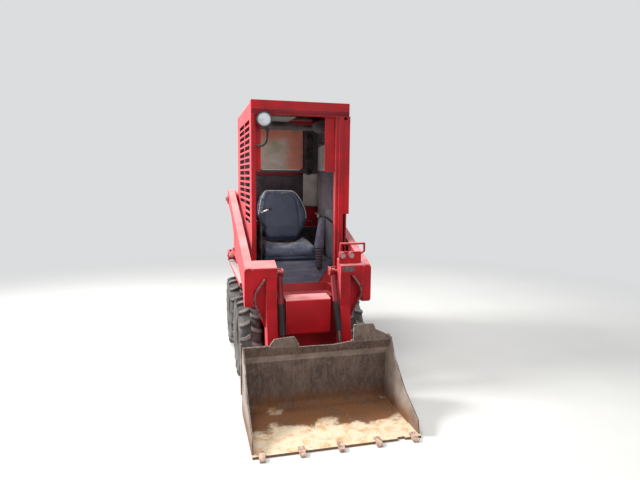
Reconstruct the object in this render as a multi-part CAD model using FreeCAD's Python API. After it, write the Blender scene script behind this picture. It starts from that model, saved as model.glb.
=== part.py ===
import FreeCAD
import Part
import math
import os

# A small skid steer loader: frame, cab, lift arms, bucket, cylinders and four wheels.
# Millimetres. The machine faces -Y, +Z is up, and +X is the operator's left.
# Every piece is modelled from a datum 15 mm behind the cab's front face (y = 0 there)
# and moved at the end, so that the part's origin lies on the ground in the middle of its box.

V = FreeCAD.Vector
os.makedirs("parts", exist_ok=True)

# Reach and wheels
tooth_reach = 1058.0
rear_reach = 1250.0
front_wheel_y = 90.0
wheelbase = 712.0
tyre_radius = 280.0
tyre_width = 150.0
tyre_outer_x = 434.0
tyre_shoulder = 26.0
bead_radius = 152.0
bead_half = 55.0
lug_height = 20.0
lug_count = 18
lug_length = 34.0
ring_sides = 36
axle_radius = 22.0
flange_radius = 62.0
disc_seat = 10.0
disc_thick = 6.0

# Clearances
running_gap = 0.05
seat_gap = 0.3
move_gap = 6.0

# Frame
frame_half = 262.0
rail_wall = 57.0
frame_front_y = -165.0
frame_rear_y = 1180.0
frame_bottom = 165.0
rail_top = 650.0
sheet = 6.0
plate = 12.0
deck_z = 600.0
sill_top = 655.0
bulkhead_y = 780.0
bay_top = 1000.0
bay_rear_top = 950.0
fender_half = 400.0
fender_front_y = 130.0
fender_rear_y = 1080.0
fender_lip = 26.0
box_half = 147.0
box_front_y = -278.0
box_low = 379.0
box_high = 612.0
tow_radius = 15.0
tow_x = 150.0
tow_z = 255.0
weight_thick = 24.0
door_low = 350.0
door_high = 940.0
door_thick = 28.0
door_pin_radius = 6.0

# Cab
cab_half = 332.0
cab_front_y = -15.0
cab_rear_y = 910.0
rail_z = 1800.0
roof_z = 1890.0
roof_skin_z = 1850.0
post_width = 60.0
post_depth = 60.0
left_post_inset = 22.0
header_overhang = 8.0
screen_flange_z = (1139.0, 1780.0)
right_post_width = 32.0
right_flange = 36.0
left_flange = 72.0
flange_low = 1430.0
screen_top = 1770.0
screen_pitch = 42.0
slot_height = 29.0
screen_columns = [(70.0, 370.0), (400.0, 740.0)]
window_half = 170.0
window_low = 1450.0
window_high = 1780.0
seat_x = -43.0
pan_z = 795.0
pan_run = 95.0
pan_knee = 0.27
pan_sheet = 5.0
lever_x = 152.0
lever_seat = 0.68
hand_bar_x = 259.0
hand_bar_y = 56.0
cushion_top = 918.0
back_top = 1312.0
# the backrest's outline from the seat's middle: x, z, corner radius
back_edge = [(-132, 897, 70), (-191, 1085, 150), (-135, 1312, 50), (118, 1312, 60), (226, 1060, 130), (190, 897, 70)]
exhaust_x = 130.0
exhaust_top = 1150.0

# Lift arms
pivot_y = 985.0
pivot_z = 1200.0
arm_gap = 26.0
arm_width = 52.0
arm_depth = 141.0
arm_rear_depth = 100.0
arm_top_slope = 0.354
arm_top_z = 828.7
elbow_y = -300.0
elbow_back_y = -205.0
cross_box_low = 775.0
gusset_low = 690.0
guard_z = 965.0
tip_bottom = 582.0
leg_inner = 209.0
leg_outer = 275.0
lift_pin_radius = 25.0
lug_y = 430.0
lug_z = 850.0
base_y = 1080.0
base_z = 700.0
base_pin_radius = 15.0
cross_y = -276.0
cross_z = 240.0
cross_radius = 26.0

# Bucket, and the pins of its cylinders
hinge_y = -345.0
hinge_z = 130.0
hinge_pin_radius = 14.0
tilt_x = 181.0
tilt_top_y = -205.0
tilt_top_z = 775.0
tilt_low_y = -405.0
tilt_low_z = 300.0
tilt_pin_radius = 11.0
ear_out = 25.0
bucket_half = 455.0
bucket_back_y = -500.0
bucket_edge_y = -1018.0
bucket_side_front_y = -999.0
bucket_sheet = 8.0
lip_bend_z = 309.0
lip_tip_y = -580.0
lip_tip_z = 428.0
edge_thick = 14.0
tooth_count = 5
tooth_span = 410.0
tooth_width = 30.0
tooth_grip = 24.0

middle_shift = (tooth_reach - rear_reach) / 2
axle_z = tyre_radius
wheel_x = tyre_outer_x - tyre_width / 2
door_hinge_x = -frame_half - 13
post_inner = cab_half - post_width
arm_inner = cab_half + arm_gap
arm_outer = arm_inner + arm_width
X = V(1, 0, 0)


def block(x0, x1, y0, y1, z0, z1):
    return Part.makeBox(x1 - x0, y1 - y0, z1 - z0, V(x0, y0, z0))


def cross_bar(x0, x1, y, z, radius):
    return Part.makeCylinder(radius, x1 - x0, V(x0, y, z), X)


def outline(corners, place):
    # corners are (u, v, radius) or (u, v); place turns u, v into a point
    corners = [tuple(c) if len(c) == 3 else (c[0], c[1], 0) for c in corners]
    spots = []
    for i, (u, v, radius) in enumerate(corners):
        here = V(u, v, 0)
        if radius == 0:
            spots.append((here, here, here))
            continue
        before = V(*corners[i - 1][:2], 0) - here
        after = V(*corners[(i + 1) % len(corners)][:2], 0) - here
        half = before.getAngle(after) / 2
        before.normalize()
        after.normalize()
        middle = (before + after).normalize()
        back = radius / math.tan(half)
        spots.append((here + before * back,
                      here + middle * (radius / math.sin(half) - radius),
                      here + after * back))
    edges = []
    for i, (start, middle, end) in enumerate(spots):
        last = spots[i - 1][2]
        if (start - last).Length > 1e-6:
            edges.append(Part.makeLine(place(last.x, last.y), place(start.x, start.y)))
        if (end - start).Length > 1e-6:
            edges.append(Part.Arc(place(start.x, start.y), place(middle.x, middle.y),
                                  place(end.x, end.y)).toShape())
    return Part.Face(Part.Wire(edges))


def side_plate(x0, x1, corners):
    return outline(corners, lambda y, z: V(x0, y, z)).extrude(V(x1 - x0, 0, 0))


def front_plate(y0, y1, corners):
    return outline(corners, lambda x, z: V(x, y0, z)).extrude(V(0, y1 - y0, 0))


def deck_plate(z0, z1, corners):
    return outline(corners, lambda x, y: V(x, y, z0)).extrude(V(0, 0, z1 - z0))


def turned(corners):
    # a ring turned about the X axis, from (x, radius) corners
    return outline(corners, lambda x, r: V(x, 0, r)).revolve(V(0, 0, 0), X, 360)


def join(first, *others):
    return first.fuse(list(others)).removeSplitter()


def mirrored(shape):
    return shape.mirror(V(0, 0, 0), X)


def window(low_x, high_x, low_z, high_z, radius):
    return [(low_x, low_z, radius), (high_x, low_z, radius), (high_x, high_z, radius), (low_x, high_z, radius)]


def around(count, radius, first=0.0):
    # (y, z) spots evenly round a circle
    turns = [math.radians(first + 360.0 * i / count) for i in range(count)]
    return [(radius * math.cos(t), radius * math.sin(t)) for t in turns]


# Wheels, modelled on the machine's left with the wheel's middle at the origin
def facet_ring(section, sides):
    # a ring of flat facets about the X axis, from (x, radius) corners
    turns = [math.radians(360.0 * i / sides) for i in range(sides)]
    rows = [[V(x, r * math.cos(t), r * math.sin(t)) for x, r in section] for t in turns]
    faces = []
    for i, row in enumerate(rows):
        last = rows[i - 1]
        for j in range(len(section)):
            faces.append(Part.Face(Part.makePolygon([last[j - 1], last[j], row[j], row[j - 1], last[j - 1]])))
    return Part.Solid(Part.makeShell(faces))


def tyre():
    half = tyre_width / 2
    tread = tyre_radius - lug_height
    edge = half - tyre_shoulder
    bead = bead_radius / math.cos(math.pi / ring_sides)
    ring = facet_ring([(-bead_half, bead), (bead_half, bead), (bead_half, bead_radius + 18),
                       (half, bead_radius + 55), (half, tread - tyre_shoulder), (edge, tread), (-edge, tread),
                       (-half, tread - tyre_shoulder), (-half, bead_radius + 55), (-bead_half, bead_radius + 18)],
                      ring_sides)
    lugs = []
    step = 360.0 / lug_count
    # flat lugs whose corners reach the tyre's radius, turned so that one corner stands on the ground
    top = math.sqrt(tyre_radius ** 2 - lug_length ** 2)
    settle = math.degrees(math.asin(lug_length / tyre_radius)) - step / 2
    for side, phase in ((1, 0.0), (-1, 0.5)):
        # half a chevron: a bar from the middle of the tread, slanting to the shoulder
        bar = outline([(side * 3, lug_length * 0.5), (side * 3, -lug_length * 0.5),
                       (side * half, -lug_length), (side * half, -lug_length * 0.1)],
                      lambda x, s: V(x, s, tread - lug_height)).extrude(V(0, 0, top - tread + lug_height))
        for i in range(lug_count):
            lug = bar.copy()
            lug.rotate(V(0, 0, 0), X, 180 + settle + (i + phase) * step)
            lugs.append(lug)
    return ring.fuse(lugs)


def rim():
    inner = bead_radius - seat_gap
    flange = bead_half + seat_gap
    wall = 5.0
    drum = turned([(-flange - wall, inner - plate), (flange + wall, inner - plate),
                   (flange + wall, bead_radius + 14), (flange, bead_radius + 14), (flange, inner),
                   (-flange, inner), (-flange, bead_radius + 14), (-flange - wall, bead_radius + 14)])
    bore = axle_radius + running_gap
    dish = 18.0
    seat = disc_seat
    disc = turned([(seat, bore), (seat + disc_thick, bore), (seat + disc_thick, 70), (seat + dish + disc_thick, 98),
                   (seat + dish + disc_thick, inner - wall), (seat + dish, inner - wall), (seat + dish, 101),
                   (seat, 73)])
    return join(drum, disc).cut([cross_bar(0, 60, y, z, 11) for y, z in around(8, 118)])


def axle():
    # the shaft out of the chain case, with its drive flange
    start = frame_half - rail_wall - wheel_x + 3
    return join(cross_bar(start, disc_seat + 20, 0, 0, axle_radius),
                cross_bar(disc_seat - 18, disc_seat, 0, 0, flange_radius))


# Frame
def main_frame():
    inner = frame_half - rail_wall
    rail = side_plate(inner, frame_half,
                      [(frame_front_y, frame_bottom + 60, 20), (frame_front_y + 90, frame_bottom, 30),
                       (frame_rear_y, frame_bottom, 10), (frame_rear_y, rail_top),
                       (frame_front_y + 60, rail_top, 10), (frame_front_y, deck_z, 10)])
    bay_side = side_plate(frame_half - plate, frame_half,
                          [(bulkhead_y, rail_top), (frame_rear_y, rail_top), (frame_rear_y, bay_rear_top),
                           (bulkhead_y, bay_top)])
    axles = (front_wheel_y, front_wheel_y + wheelbase)
    housings = [cross_bar(frame_half, frame_half + 24, y, axle_z, 44) for y in axles]
    bores = [cross_bar(inner - 1, frame_half + 30, y, axle_z, axle_radius + running_gap) for y in axles]
    half = rail.fuse([bay_side] + housings)
    floor_z = frame_bottom + 10
    low_wall = frame_bottom + 75
    body = join(half, mirrored(half),
                block(-inner, inner, frame_front_y + 90, frame_rear_y, floor_z, floor_z + plate),
                side_plate(-inner, inner, [(frame_front_y, low_wall), (frame_front_y + 90, floor_z),
                                           (frame_front_y + 90, floor_z + plate),
                                           (frame_front_y + plate, low_wall + plate),
                                           (frame_front_y + plate, deck_z), (frame_front_y, deck_z)]),
                block(-inner, inner, frame_front_y, 60, deck_z - plate, deck_z),
                block(plate - frame_half, frame_half - plate, bulkhead_y, bulkhead_y + plate, floor_z, bay_top - 2),
                block(-inner, inner, frame_rear_y - 30, frame_rear_y, floor_z, door_low - 20),
                seat_riser(), *door_knuckles(low=True))
    return body.cut(bores + [mirrored(bore) for bore in bores])


def seat_riser():
    # the sill at the deck's rear edge, and the sloping plate that the seat pan lies on
    half = frame_half - rail_wall
    knee = pan_run * pan_knee
    slope = pan_run * (1 - pan_knee) / (pan_z - sill_top)
    back = knee + pan_sheet + 1.5
    top = pan_z - 15
    sill = side_plate(-half, half, [(0, deck_z - plate), (0, deck_z), (knee, sill_top), (back + sheet, sill_top),
                                    (sheet, deck_z - plate)])
    ends = post_inner - left_post_inset - 1
    riser = side_plate(-ends, ends, [(back, sill_top - 1), (back + slope, sill_top), (back + slope * (top - sill_top), top),
                                     (back + sheet + slope * (top - sill_top), top), (back + sheet, sill_top - 1)])
    return sill.fuse(riser)


def door_knuckles(low):
    # lift-off hinges: the frame has the lower knuckle and pin, the door the upper one
    y = frame_rear_y + move_gap + door_thick / 2
    pieces = []
    for z in (door_low + 60, door_high - 110):
        if low:
            pieces.append(block(door_hinge_x, -frame_half, frame_rear_y - 40, y, z, z + 24))
            pieces.append(Part.makeCylinder(11, 24, V(door_hinge_x, y, z)))
            pieces.append(Part.makeCylinder(door_pin_radius, 46, V(door_hinge_x, y, z)))
        else:
            knuckle = Part.makeCylinder(11, 24, V(door_hinge_x, y, z + 24 + seat_gap))
            leaf = block(door_hinge_x, 10 - frame_half, y - 5, y + 5, z + 24 + seat_gap, z + 48 + seat_gap)
            bore = Part.makeCylinder(door_pin_radius + running_gap, 60, V(door_hinge_x, y, z))
            pieces.append(knuckle.fuse(leaf).cut(bore))
    return pieces


def rear_door():
    y0 = frame_rear_y + move_gap
    y1 = y0 + door_thick
    half = frame_half - move_gap
    door = front_plate(y0, y1, window(-half, half, door_low, door_high, 18))
    pan = front_plate(y0 - 1, y1 - 5, window(16 - half, half - 16, door_low + 16, door_high - 16, 12))
    slots = [front_plate(y0 - 1, y1 + 1, window(-170, 170, z, z + 20, 9.9))
             for z in [door_high - 80 - 38 * i for i in range(8)]]
    handle = block(half - 60, half - 30, y1, y1 + 16, door_low + 250, door_low + 340)
    return join(door.cut([pan] + slots), handle, *door_knuckles(low=False))


def fender():
    # the folded step over both tyres
    low = rail_top - fender_lip
    pieces = [block(fender_half - sheet, fender_half, fender_front_y, fender_rear_y, low, rail_top)]
    for y in (fender_front_y, fender_rear_y - sheet):
        pieces.append(block(frame_half, fender_half, y, y + sheet, low, rail_top))
    return join(block(frame_half, fender_half, fender_front_y, fender_rear_y, rail_top - sheet, rail_top), *pieces)


def tower():
    # the rear upright, the lift arm's pin, and the clevis of the lift cylinder's base
    outer = arm_inner - move_gap
    end = arm_outer + 2
    post = side_plate(frame_half, outer, [(pivot_y - 60, rail_top), (pivot_y + 75, rail_top),
                                          (pivot_y + 70, pivot_z + 70, 60), (pivot_y - 60, pivot_z + 70, 60)])
    ear = [(base_y - 42, base_z - 45, 30), (base_y + 42, base_z - 45), (base_y + 42, base_z + 45),
           (base_y - 42, base_z + 45, 30)]
    return join(post, cross_bar(outer, arm_outer + 9, pivot_y, pivot_z, lift_pin_radius),
                cross_bar(arm_outer + 1, arm_outer + 9, pivot_y, pivot_z, lift_pin_radius + 14),
                side_plate(outer, outer + plate, ear), side_plate(end - 10, end, ear),
                block(outer, end, base_y + 42, base_y + 42 + plate, base_z - 45, base_z + 45),
                cross_bar(outer, end, base_y, base_z, base_pin_radius))


def front_box():
    # the pressed cover ahead of the footwell
    def section(wall, back, radius):
        return side_plate(wall - box_half, box_half - wall,
                          [(box_front_y + wall, box_low + wall, radius), (back, box_low + wall),
                           (back, box_high + 8 - wall), (box_front_y + wall, box_high - wall, radius)])
    return section(0, frame_front_y, 14).cut(section(5, frame_front_y + 1, 9))


def engine_block():
    half = frame_half - plate - 80
    return block(-half, half, bulkhead_y + 60, frame_rear_y - 110, frame_bottom + 10 + plate, bay_rear_top - 190)


def engine_hood():
    slope = (bay_rear_top - bay_top) / (frame_rear_y - bulkhead_y)
    rear = frame_rear_y + move_gap + door_thick
    tail = bay_rear_top + slope * (rear - frame_rear_y)
    hood = side_plate(-frame_half, frame_half, [(bulkhead_y, bay_top), (rear, tail), (rear, tail + 30, 20),
                                                (bulkhead_y, bay_top + 30, 10)])
    slots = [deck_plate(bay_rear_top - 50, bay_top + 60, window(-200, 60, y, y + 12, 5.9))
             for y in [pivot_y + 60 + 26 * i for i in range(4)]]
    return hood.cut(slots + [Part.makeCylinder(26, 200, V(exhaust_x, pivot_y + 40, bay_rear_top - 60))])


def exhaust_pipe():
    low = 760
    pipe = Part.makeCylinder(20, exhaust_top - low, V(exhaust_x, pivot_y + 40, low))
    return pipe.cut(Part.makeCylinder(17, exhaust_top - low, V(exhaust_x, pivot_y + 40, low + 20)))


def rear_weight():
    y1 = frame_rear_y + weight_thick
    body = side_plate(-frame_half, frame_half, [(frame_rear_y, 172), (y1 - 14, 172, 8), (y1, 195, 8),
                                                (y1, 322, 12), (frame_rear_y, 336, 4)])
    lug_r = 28.0
    lugs = []
    for x in (-tow_x, tow_x):
        lug = cross_bar(x - 10, x + 10, rear_reach - lug_r, tow_z, lug_r)
        lugs.append(lug.fuse(block(x - 10, x + 10, y1 - 10, rear_reach - lug_r, tow_z - lug_r, tow_z + lug_r)))
    bores = [cross_bar(x - 20, x + 20, rear_reach - lug_r, tow_z, tow_radius) for x in (-tow_x, tow_x)]
    return join(body, *lugs).cut(bores)


# Cab
def cab_front_post(inner, outer, flange_width):
    step = inner + (outer - inner) * 0.4
    front = deck_plate(rail_top, rail_z, [(inner, cab_front_y + 10), (step, cab_front_y + 10),
                                          (step, cab_front_y), (outer, cab_front_y, 4),
                                          (outer, cab_front_y + post_depth), (inner, cab_front_y + post_depth)])
    flange = block(inner - flange_width, inner, cab_front_y + 35, cab_front_y + 41, flange_low, rail_z)
    return front.fuse(flange)


def cab_frame():
    rear_y = bulkhead_y + sheet
    half = block(post_inner, cab_half - sheet, rear_y, rear_y + post_depth, rail_top, rail_z).fuse(
        block(post_inner - sheet, cab_half, cab_front_y + post_depth, cab_rear_y, rail_z, roof_skin_z))
    # the left front post stands further in, and a flange on it carries the left screen
    left_inner = post_inner - left_post_inset
    left_outer = left_inner + post_width - sheet
    header_end = cab_half + header_overhang
    screen_flange = block(left_outer - 1, header_end + header_overhang,
                          cab_front_y + sheet, cab_front_y + 2 * sheet, *screen_flange_z)
    header = front_plate(cab_front_y, cab_front_y + post_depth,
                         [(-cab_half, rail_z), (cab_half - sheet, rail_z), (header_end, rail_z + 14),
                          (header_end, roof_z, 6), (-cab_half, roof_z, 6)])
    beam = block(-cab_half, cab_half, cab_rear_y - post_depth, cab_rear_y, rail_z, roof_skin_z)
    right_post = mirrored(cab_front_post(cab_half - right_post_width, cab_half - sheet, right_flange))
    return join(half, mirrored(half), right_post, cab_front_post(left_inner, left_outer, left_flange),
                screen_flange, header, beam)


def cab_side(front):
    # the side sheet with its two columns of slots
    skin = side_plate(cab_half - sheet, cab_half,
                      [(front, rail_top), (cab_rear_y, rail_top), (cab_rear_y, rail_z), (front, rail_z)])
    slots = []
    for start, end in screen_columns:
        z = screen_top
        while z - slot_height > 1040 + 0.3 * (start - cab_front_y):
            slots.append(block(cab_half - 2 * sheet, cab_half + sheet, start, end, z - slot_height, z))
            z -= screen_pitch
    return skin.cut(slots)


def cab_roof():
    rear = cab_rear_y
    front = cab_front_y + post_depth
    roof = side_plate(-cab_half, cab_half, [(front, roof_skin_z), (rear, roof_skin_z), (rear, roof_skin_z + 12, 6),
                                            (front, roof_skin_z + 24)])
    return roof


def cab_back():
    low = bay_top + 30 + seat_gap
    skin = front_plate(bulkhead_y, bulkhead_y + sheet, [(sheet - cab_half, low), (cab_half - sheet, low),
                                                        (cab_half - sheet, rail_z), (sheet - cab_half, rail_z)])
    return skin.cut(front_plate(bulkhead_y - 1, bulkhead_y + sheet + 1,
                                window(-window_half, window_half, window_low, window_high, 30)))


def rear_window():
    y0 = bulkhead_y + sheet
    return front_plate(y0, y0 + 4, window(-window_half - 14, window_half + 14, window_low - 14, rail_z - 4, 30))


def headliner():
    half = post_inner - seat_gap
    return side_plate(-half, half,
                      [(340, rail_z), (340, rail_z - 40, 18), (480, rail_z - 55, 20), (560, rail_z - 20, 30),
                       (760, rail_z - 14), (760, rail_z)])


def seat_pan():
    # the folded seat deck: a sloping front that widens upwards, and a flat top
    half = frame_half - 4
    knee = pan_run * pan_knee
    rear = 620
    low = pan_z - pan_sheet
    deck = side_plate(-half, half, [(knee, sill_top), (pan_run, pan_z, 12), (rear, pan_z), (rear, low),
                                    (pan_run + 3, low, 8), (knee + pan_sheet + 1, sill_top)])
    cheeks = [front_plate(-1, pan_run - 12, [(foot, sill_top - 1), (foot, sill_top), (end, pan_z - 9), (end * 1.1, pan_z - 9),
                                             (end * 1.1, sill_top - 1)])
              for foot, end in ((-110, -half), (140, half))]
    skirts = [block(x, x + pan_sheet, pan_run + 30, rear, rail_top, low) for x in (-half, half - pan_sheet)]
    return join(deck.cut(cheeks), *skirts)


def seat_cushion():
    return side_plate(seat_x - 190, seat_x + 190, [(118, pan_z + seat_gap, 15), (470, pan_z + seat_gap, 10),
                                                   (470, cushion_top - 18, 20), (190, cushion_top, 60),
                                                   (102, cushion_top - 13, 34)])


def seat_back():
    # wide at the elbows and narrower at the top
    pad = side_plate(seat_x - 200, seat_x + 235, [(448, 905, 15), (530, 905, 15), (612, back_top - 22, 25),
                                                  (540, back_top, 25), (470, 1020, 60)])
    return pad.common(front_plate(400, 640, [(seat_x + x, z, radius) for x, z, radius in back_edge]))


def seat_bracket():
    # the two bars that carry the backrest from the seat deck
    bars = []
    for x in (seat_x - 90, seat_x + 90):
        bars.append(side_plate(x - 15, x + 15, [(500, pan_z), (620, pan_z), (620, pan_z + 8), (565, pan_z + 8),
                                                (606, 1180), (590, 1183), (545, pan_z + 8), (500, pan_z + 8)]))
    return bars


def lever_left():
    # a boot on the seat deck's slope, the padded column and the hand bar across its top
    rise = pan_z - sill_top
    out = V(0, -rise, pan_run * (1 - pan_knee)).normalize()
    foot = V(lever_x, (pan_knee + (1 - pan_knee) * lever_seat) * pan_run, sill_top + lever_seat * rise) + out * seat_gap
    neck = foot + out * 38
    head = V(lever_x + 26, neck.y + 30, 1100)
    post = head - neck
    bar = bent_bar([head + V(-52, 0, 40), head + V(28, 0, 8), head + V(80, 0, -30)], 9)
    return join(Part.makeCone(30, 20, 42, foot, out), Part.makeSphere(16, neck),
                Part.makeCylinder(10, post.Length + 24, neck, post),
                Part.makeCone(22, 26, post.Length - 60, neck + post * 0.12, post), bar)


def lever_right():
    # a bar on the chain case beside the post, cranked inwards to its knob
    foot = V(-hand_bar_x, hand_bar_y, rail_top + seat_gap)
    knee = V(-hand_bar_x, hand_bar_y, 1150)
    knob = knee + V(62, 0, 24)
    return join(Part.makeCylinder(8, 500 - seat_gap, foot), Part.makeSphere(8, knee),
                Part.makeCylinder(7, (knob - knee).Length, knee, knob - knee), Part.makeSphere(14, knob))


def work_lamp():
    # hung below the header, ahead of the right post
    x = 80.0 - cab_half
    z = 1761.0
    back = cab_front_y - move_gap
    front = back - 47
    ring = Part.makeCylinder(50, 9, V(x, front, z), V(0, 1, 0)).cut(Part.makeCylinder(43, 5, V(x, front, z), V(0, 1, 0)))
    dome = Part.makeCone(50, 30, 38, V(x, front + 9, z), V(0, 1, 0))
    return join(ring, dome, block(x - 9, x + 9, back - 22, cab_front_y + 14, z + 20, rail_z))


def lamp_box():
    # the twin lamps and their round guard bar, on the cross box of the left arm
    y0 = elbow_y + 18
    plate_top = arm_top(y0) + 80
    low = arm_top(y0) + seat_gap
    foot_slope = arm_top_slope * plate
    body = front_plate(y0, y0 + plate, [(leg_inner - 9, low + foot_slope), (arm_inner - 8, low + foot_slope),
                                        (arm_inner - 8, plate_top, 8), (leg_inner - 9, plate_top, 8)])
    lamps = [Part.makeCylinder(22, 15, V(x, y0 - 14, plate_top - 24), V(0, 1, 0))
             for x in (leg_inner + 14, leg_inner + 72)]
    bar_y = y0 + plate + 5
    guard = bent_bar([V(leg_inner + 5, bar_y, plate_top - 14), V(leg_inner + 5, bar_y, guard_z),
                      V(arm_outer - 34, bar_y, guard_z), V(arm_outer - 34, bar_y, guard_z - 50),
                      V(arm_outer - 52, bar_y, guard_z - 62)], 7)
    return join(body, guard, *lamps)


def bent_bar(points, radius):
    pieces = [Part.makeSphere(radius, point) for point in points]
    for start, end in zip(points, points[1:]):
        pieces.append(Part.makeCylinder(radius, (end - start).Length, start, end - start))
    return join(*pieces)


# Lift arms, modelled on the machine's left
def arm_top(y, below=0.0):
    # height of the arm's top face at y, or of a line that lies deeper in the arm
    return arm_top_z + arm_top_slope * (y - elbow_y) - below * math.hypot(1, arm_top_slope)


def arm():
    tail = pivot_y + 68
    beam = side_plate(arm_inner, arm_outer, [
        (tail, arm_top(tail), 60), (elbow_y, arm_top(elbow_y), 30), (elbow_y, tip_bottom, 14),
        (elbow_y + 80, tip_bottom, 10), (elbow_y + 150, 680, 60), (140, 775, 60), (lug_y + 42, lug_z - 42, 38),
        (lug_y + 62, arm_top(lug_y + 62, arm_depth), 20), (690, arm_top(690, arm_rear_depth), 200),
        (pivot_y - 90, arm_top(pivot_y - 90, arm_rear_depth + 10), 80), (pivot_y - 30, pivot_z - 50, 40),
        (tail, pivot_z - 50, 60)])
    slot_x = arm_inner + arm_width / 2
    slot = block(slot_x - 19, slot_x + 19, lug_y - 72, lug_y + 200, lug_z - 60, lug_z + 58)
    bore = cross_bar(arm_inner - 1, arm_outer + 1, pivot_y, pivot_z, lift_pin_radius + running_gap)
    boss = cross_bar(arm_outer, arm_outer + 5, lug_y, lug_z, 20)
    return join(beam.cut([slot, bore]), boss)


def leg():
    # the inner leg, its cross box and web to the arm, and the tilt cylinder's clevis
    shin_top = cross_box_low + 10
    shin = side_plate(leg_inner, leg_outer, [
        (elbow_back_y, shin_top), (elbow_y + 6, shin_top), (elbow_y + 6, 560, 80), (hinge_y - 42, hinge_z - 42, 40),
        (hinge_y + 42, hinge_z - 42, 40), (cross_y + 46, cross_z + 20, 50), (elbow_back_y, 430, 60)])
    box = side_plate(leg_inner, arm_inner, [
        (elbow_y, cross_box_low), (elbow_y, arm_top(elbow_y), 14), (elbow_back_y, arm_top(elbow_back_y)),
        (elbow_back_y, cross_box_low)])
    gusset = front_plate(elbow_y, elbow_y + 10, [
        (leg_outer - 1, cross_box_low + 1), (arm_inner, cross_box_low + 1), (arm_inner, gusset_low),
        (arm_inner - 14, gusset_low + 4, 8), (leg_outer - 1, cross_box_low - 6)])
    web = front_plate(elbow_y + 45, elbow_y + 55, [
        (leg_outer - 1, cross_box_low + 1), (arm_inner, cross_box_low + 1), (arm_inner, tip_bottom + 20),
        (arm_inner - 12, tip_bottom - 10, 20), (leg_outer + 8, 440, 10), (leg_outer - 1, 430)])
    inner = tilt_x - ear_out
    ear = side_plate(inner, inner + 7, [(tilt_top_y - 26, tilt_top_z - 26, 24), (tilt_top_y + 26, tilt_top_z - 26, 24),
                                        (tilt_top_y + 26, tilt_top_z + 26), (tilt_top_y - 26, tilt_top_z + 26, 20)])
    bridge = block(inner, leg_inner + 1, tilt_top_y + 26, tilt_top_y + 34, tilt_top_z - 26, tilt_top_z + 26)
    return join(shin, box, gusset, web, ear, bridge,
                cross_bar(inner, leg_inner + 1, tilt_top_y, tilt_top_z, tilt_pin_radius),
                cross_bar(leg_inner - move_gap - 10, leg_outer + 20, hinge_y, hinge_z, hinge_pin_radius))


def cross_tube():
    return cross_bar(-leg_inner, leg_inner, cross_y, cross_z, cross_radius)


# Cylinders: a table of the two kinds, each row used on both sides
cylinder_kinds = {
    # name: middle x, base y, base z, rod eye y, rod eye z, barrel radius, rod radius, eye radius,
    # eye width, base pin radius, barrel start, barrel length, piston start
    "lift": (arm_inner + arm_width / 2, base_y, base_z, lug_y, lug_z, 26, 13, 28, 28, base_pin_radius, 58, 600, 72),
    "tilt": (tilt_x, tilt_top_y, tilt_top_z, tilt_low_y, tilt_low_z, 19, 9.5, 22, 22, tilt_pin_radius, 30, 394, 100),
}


def cylinder(kind):
    x, y0, z0, y1, z1, barrel_r, rod_r, eye_r, eye_w, pin_r, start, barrel_len, piston = cylinder_kinds[kind]
    base = V(x, y0, z0)
    tip = V(x, y1, z1)
    length = (tip - base).Length
    way = (tip - base).normalize()
    bore_r = barrel_r - 5
    gland = 20
    blind = start + 8

    def reach(radius, start, end):
        return Part.makeCylinder(radius, end - start, base + way * start, way)

    eye = cross_bar(x - eye_w / 2, x + eye_w / 2, y0, z0, eye_r)
    eye = eye.cut(cross_bar(x - eye_w, x + eye_w, y0, z0, pin_r + running_gap))
    tube = reach(barrel_r, start, barrel_len).cut([
        reach(bore_r, blind, barrel_len - gland), reach(rod_r + running_gap, blind, barrel_len + 1)])
    barrel = join(tube, reach(eye_w / 2 - 1, eye_r - 4, start + 2), eye)
    far_eye = cross_bar(x - eye_w / 2, x + eye_w / 2, y1, z1, eye_r)
    pin = cross_bar(x - eye_w / 2 - 2, x + eye_w / 2 + 2, y1, z1, pin_r)
    rod = join(reach(rod_r, piston, length - eye_r + 6), reach(bore_r - running_gap, piston, piston + 18),
               far_eye, pin)
    return barrel, rod


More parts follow.
